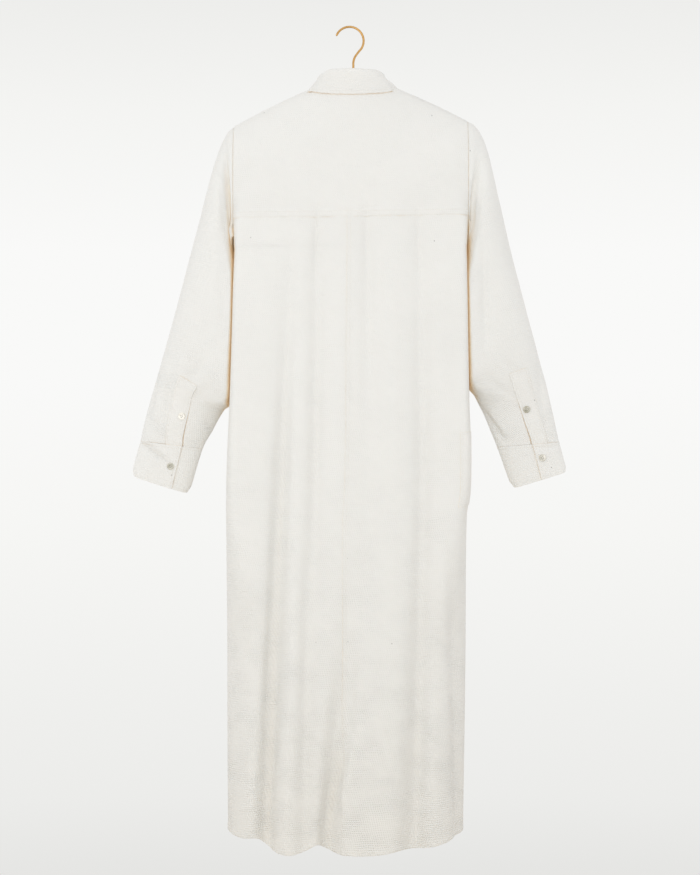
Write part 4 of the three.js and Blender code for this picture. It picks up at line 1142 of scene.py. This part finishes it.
# Each blank was cut from another part of the shell: some are dark olive, some nearly white.
cut = add_node(tree, "Attribute", attribute_name="shell_tone").outputs["Fac"]
drift = add_node(
    tree, "MapRange",
    {"Value": clouds.outputs[0], "From Min": 0.3, "From Max": 0.7, "To Min": -0.22, "To Max": 0.22},
).outputs["Result"]
tone = add_node(tree, "Math", {0: cut, 1: drift}, operation="ADD").outputs[0]
shades = add_node(tree, "ValToRGB", {"Fac": tone})
shades.color_ramp.elements[0].position = 0.1
shades.color_ramp.elements[0].color = linear(0x86836A)
shades.color_ramp.elements[1].position = 0.9
shades.color_ramp.elements[1].color = linear(0xF4F1E8)
skin = add_node(
    tree, "BsdfPrincipled",
    {"Base Color": shades.outputs["Color"], "Roughness": 0.16, "Coat Weight": 0.5, "Coat Roughness": 0.08},
)
add_node(tree, "OutputMaterial", {"Surface": skin.outputs[0]})
# Painted shadow for the holes: flat discs coloured as the holes' sides in shadow, stained by the drill.
PAINTED_HOLE_SHADOW, tree = new_finish("drilled shell in shadow")
place = add_node(tree, "TexCoord").outputs["Object"]
clouds = add_node(tree, "TexNoise", {"Vector": place, "Scale": 900.0})
shades = add_node(tree, "ValToRGB", {"Fac": clouds.outputs[0]})
shades.color_ramp.elements[0].color = linear(0x453E32)
shades.color_ramp.elements[1].color = linear(0x6A604F)
skin = add_node(tree, "BsdfPrincipled", {"Base Color": shades.outputs["Color"], "Roughness": 0.8})
add_node(tree, "OutputMaterial", {"Surface": skin.outputs[0]})
# Radius and height, from the middle of the back round the rim to the dished middle of the front.
PROFILE = [
    (1.0, 0.0), (5.0, 0.0), (5.7, 0.5), (5.8, 1.2), (5.5, 2.0), (4.9, 2.3), (4.3, 2.1), (3.9, 1.8),
    (3.2, 1.7),
]
HOLE_ASIDE = 1.25
HOLE_RADIUS = 0.85


def add_button(name, node, place, normal, turn=0, tone=0.75):
    """A button at a place on the cloth, turned, from dark shell at tone 0 to white at 1."""
    bm = bmesh.new()
    points = [bm.verts.new((radius * MM, 0, height * MM)) for radius, height in PROFILE]
    lines = [bm.edges.new(pair) for pair in zip(points[:-1], points[1:])]
    bmesh.ops.spin(
        bm, geom=points + lines, cent=(0, 0, 0), axis=(0, 0, 1), angle=2 * math.pi, steps=40
    )
    bmesh.ops.remove_doubles(bm, verts=bm.verts, dist=1e-6)
    for level in (1e-3, -1e-3):
        open_edges = [e for e in bm.edges if e.is_boundary and all(v.co.z > level for v in e.verts)]
        bmesh.ops.contextual_create(bm, geom=open_edges)
    bmesh.ops.recalc_face_normals(bm, faces=bm.faces)
    for face in bm.faces:
        face.smooth = len(face.verts) == 4
        face.material_index = 0
    # Four drilled holes, each a flat disc of painted shadow on the dished face, with two turns of thread
    # across.
    for aside in (-HOLE_ASIDE, HOLE_ASIDE):
        for along in (-HOLE_ASIDE, HOLE_ASIDE):
            at = Matrix.Translation((aside * MM, along * MM, 1.71 * MM))
            made = bmesh.ops.create_circle(
                bm, cap_ends=True, segments=12, radius=HOLE_RADIUS * MM, matrix=at
            )
            for face in {face for vert in made["verts"] for face in vert.link_faces}:
                face.material_index = 1
        size = Matrix.Diagonal((0.42 * MM, 1.9 * MM, 0.4 * MM, 1))
        at = Matrix.Translation((aside * MM, 0, 1.9 * MM)) @ size
        made = bmesh.ops.create_icosphere(bm, subdivisions=2, radius=1, matrix=at)
        for face in {face for vert in made["verts"] for face in vert.link_faces}:
            face.material_index = 2
            face.smooth = True
    shell_tone = bm.verts.layers.float.new("shell_tone")
    for vert in bm.verts:
        vert[shell_tone] = tone
    mesh = bpy.data.meshes.new(name)
    bm.to_mesh(mesh)
    bm.free()
    mesh.transform(
        Matrix.Translation(Vector(place) * MM)
        @ Vector(normal).to_track_quat("Z", "Y").to_matrix().to_4x4()
        @ Matrix.Rotation(math.radians(turn), 4, "Z")
    )
    for finish in (SHELL, PAINTED_HOLE_SHADOW, THREAD):
        mesh.materials.append(finish)
    piece = bpy.data.objects.new(name, mesh)
    scene.collection.objects.link(piece)
    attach(piece, "root")
    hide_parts(node)


def surface_at(shaped, i, j):
    """A point and outward direction between the points of a shaped grid."""
    normals = grid_normals(shaped)
    a, b = int(i), int(j)
    mix = lambda grid: lerp(
        lerp(grid[a, b], grid[a, b + 1], j - b), lerp(grid[a + 1, b], grid[a + 1, b + 1], j - b), i - a
    )
    normal = mix(normals)
    return mix(shaped), normal / np.linalg.norm(normal)


BUTTON_LEVELS = [0.22, 1, 1.1, 1.2, 1.3, 1.4, 1.5]
for i, level in enumerate(BUTTON_LEVELS):
    heights = body_point(1, 0, level)[2]
    rows = strip_shape[:, strip_shape.shape[1] // 2, 2]
    row = np.interp(-heights, -rows, np.arange(len(rows)))
    place, normal = surface_at(strip_shape, min(row, len(rows) - 1.01), strip_shape.shape[1] / 2 - 0.5)
    add_button(f"front_button_{i + 1}", f"button_front_{i + 1}", place, normal)

# Row and column on the sleeve's slit strip, then on the cuff, in the CAD's steps.
SLEEVE_BUTTONS = {"left": (11.45, 23.35, 1.45, 25.1), "right": (11.25, 23.4, 1.2, 25.1)}
# How light the slit's and the cuff's button are.
SHELL_TONES = {"left": (1.0, 0.36), "right": (0.4, 0.62)}
for side in ("left", "right"):
    row, column, cuff_row, cuff_column = SLEEVE_BUTTONS[side]
    at = sleeve_point(side, np.array(row), np.array(column))
    shaped = strips[side]
    i, j = np.unravel_index(np.argmin(np.linalg.norm(shaped - at, axis=2)), shaped.shape[:2])
    place, normal = surface_at(shaped, i, j)
    add_button(f"slit_button_{side}", f"button_placket_{side}", place, normal, 20, SHELL_TONES[side][0])
    shaped, angle, share = cuff_shapes[side]
    turn = CUFF_HEM[side][7]
    want = SLEEVES[side][-1][7] * (1 - cuff_row / 3) + turn * cuff_row / 3 - CUFF_LAP + 390 * cuff_column / 26
    i = np.argmin(np.abs(share[:, 0] - cuff_row / 3))
    j = np.argmin(np.abs(angle[i] - want))
    place, normal = surface_at(shaped, i, j)
    add_button(f"cuff_button_{side}", f"button_cuff_{side}", place, normal, 35, SHELL_TONES[side][1])

# The collar's own button sits a little above the middle of the band, at the front.
i = int(lerp(stand_shape.shape[0] - 1, 0, 0.55))
j = np.argmin(np.abs(stand_turns - 180))
place, normal = surface_at(stand_shape, i, j)
add_button("collar_button", "button_stand", place, normal)

# Hook: one brass wire, up from the arms, over in a sweep and round to an open tip.
BRASS, tree = new_finish("drawn brass wire")
place = add_node(tree, "TexCoord").outputs["Object"]
clouds = add_node(tree, "TexNoise", {"Vector": place, "Scale": 240.0, "Detail": 4.0})
shades = add_node(tree, "ValToRGB", {"Fac": clouds.outputs[0]})
shades.color_ramp.elements[0].color = linear(0xB98B4C)
shades.color_ramp.elements[1].color = linear(0xD8B074)
skin = add_node(
    tree, "BsdfPrincipled", {"Base Color": shades.outputs["Color"], "Roughness": 0.34, "Metallic": 0.9}
)
add_node(tree, "OutputMaterial", {"Surface": skin.outputs[0]})
WIRE = 3.8
BOW_RADIUS = 24
BOW_HEIGHT = -22.1
line = [(6.5, -119.7), (6.5, -99), (6.5, -80), (6.5, -66), (6.8, -57), (9.5, -49)]
for angle in range(-48, 161, 16):
    turn = math.radians(angle)
    line.append((BOW_RADIUS * math.cos(turn), BOW_HEIGHT + BOW_RADIUS * math.sin(turn)))
line = through(np.array(line), np.linspace(0, len(line) - 1, 150))
ahead = np.gradient(line, axis=0)
ahead /= np.linalg.norm(ahead, axis=1, keepdims=True)
radii = np.full(len(line), WIRE / 2)
radii[-4:] = WIRE / 2 * np.array([0.97, 0.86, 0.62, 0.15])
bm = bmesh.new()
rings = []
for (x, z), (dx, dz), radius in zip(line, ahead, radii):
    turn = Matrix(((0, dz, dx), (1, 0, 0), (0, -dx, dz))).to_4x4()
    place = Matrix.Translation((x * MM, 0, z * MM)) @ turn
    made = bmesh.ops.create_circle(bm, segments=16, radius=radius * MM, matrix=place)
    rings.append(made["verts"])
for ring_a, ring_b in zip(rings[:-1], rings[1:]):
    for k in range(16):
        bm.faces.new((ring_a[k], ring_a[(k + 1) % 16], ring_b[(k + 1) % 16], ring_b[k]))
bm.faces.new(rings[0][::-1])
bm.faces.new(rings[-1])
bmesh.ops.recalc_face_normals(bm, faces=bm.faces)
for face in bm.faces:
    face.smooth = len(face.verts) == 4
mesh = bpy.data.meshes.new("hook_wire")
bm.to_mesh(mesh)
bm.free()
mesh.materials.append(BRASS)
hook = bpy.data.objects.new("hook_wire", mesh)
scene.collection.objects.link(hook)
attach(hook, "root")
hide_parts("hanger_hook")

# Arms: a sawn beech board under the shoulder seams, sanded and oiled.
BEECH, tree = new_finish("oiled beech")
place = add_node(tree, "TexCoord").outputs["Object"]
grain = add_node(tree, "Mapping", {"Vector": place, "Scale": (3.0, 40.0, 40.0)})
rings = add_node(tree, "TexNoise", {"Vector": grain.outputs[0], "Scale": 9.0, "Detail": 5.0})
shades = add_node(tree, "ValToRGB", {"Fac": rings.outputs[0]})
shades.color_ramp.elements[0].position = 0.35
shades.color_ramp.elements[0].color = linear(0xB8935F)
shades.color_ramp.elements[1].position = 0.65
shades.color_ramp.elements[1].color = linear(0xD2B082)
skin = add_node(
    tree, "BsdfPrincipled", {"Base Color": shades.outputs["Color"], "Roughness": 0.5}
)
add_node(tree, "OutputMaterial", {"Surface": skin.outputs[0]})
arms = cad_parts["hanger_arms"]
arms.data.materials.clear()
arms.data.materials.append(BEECH)
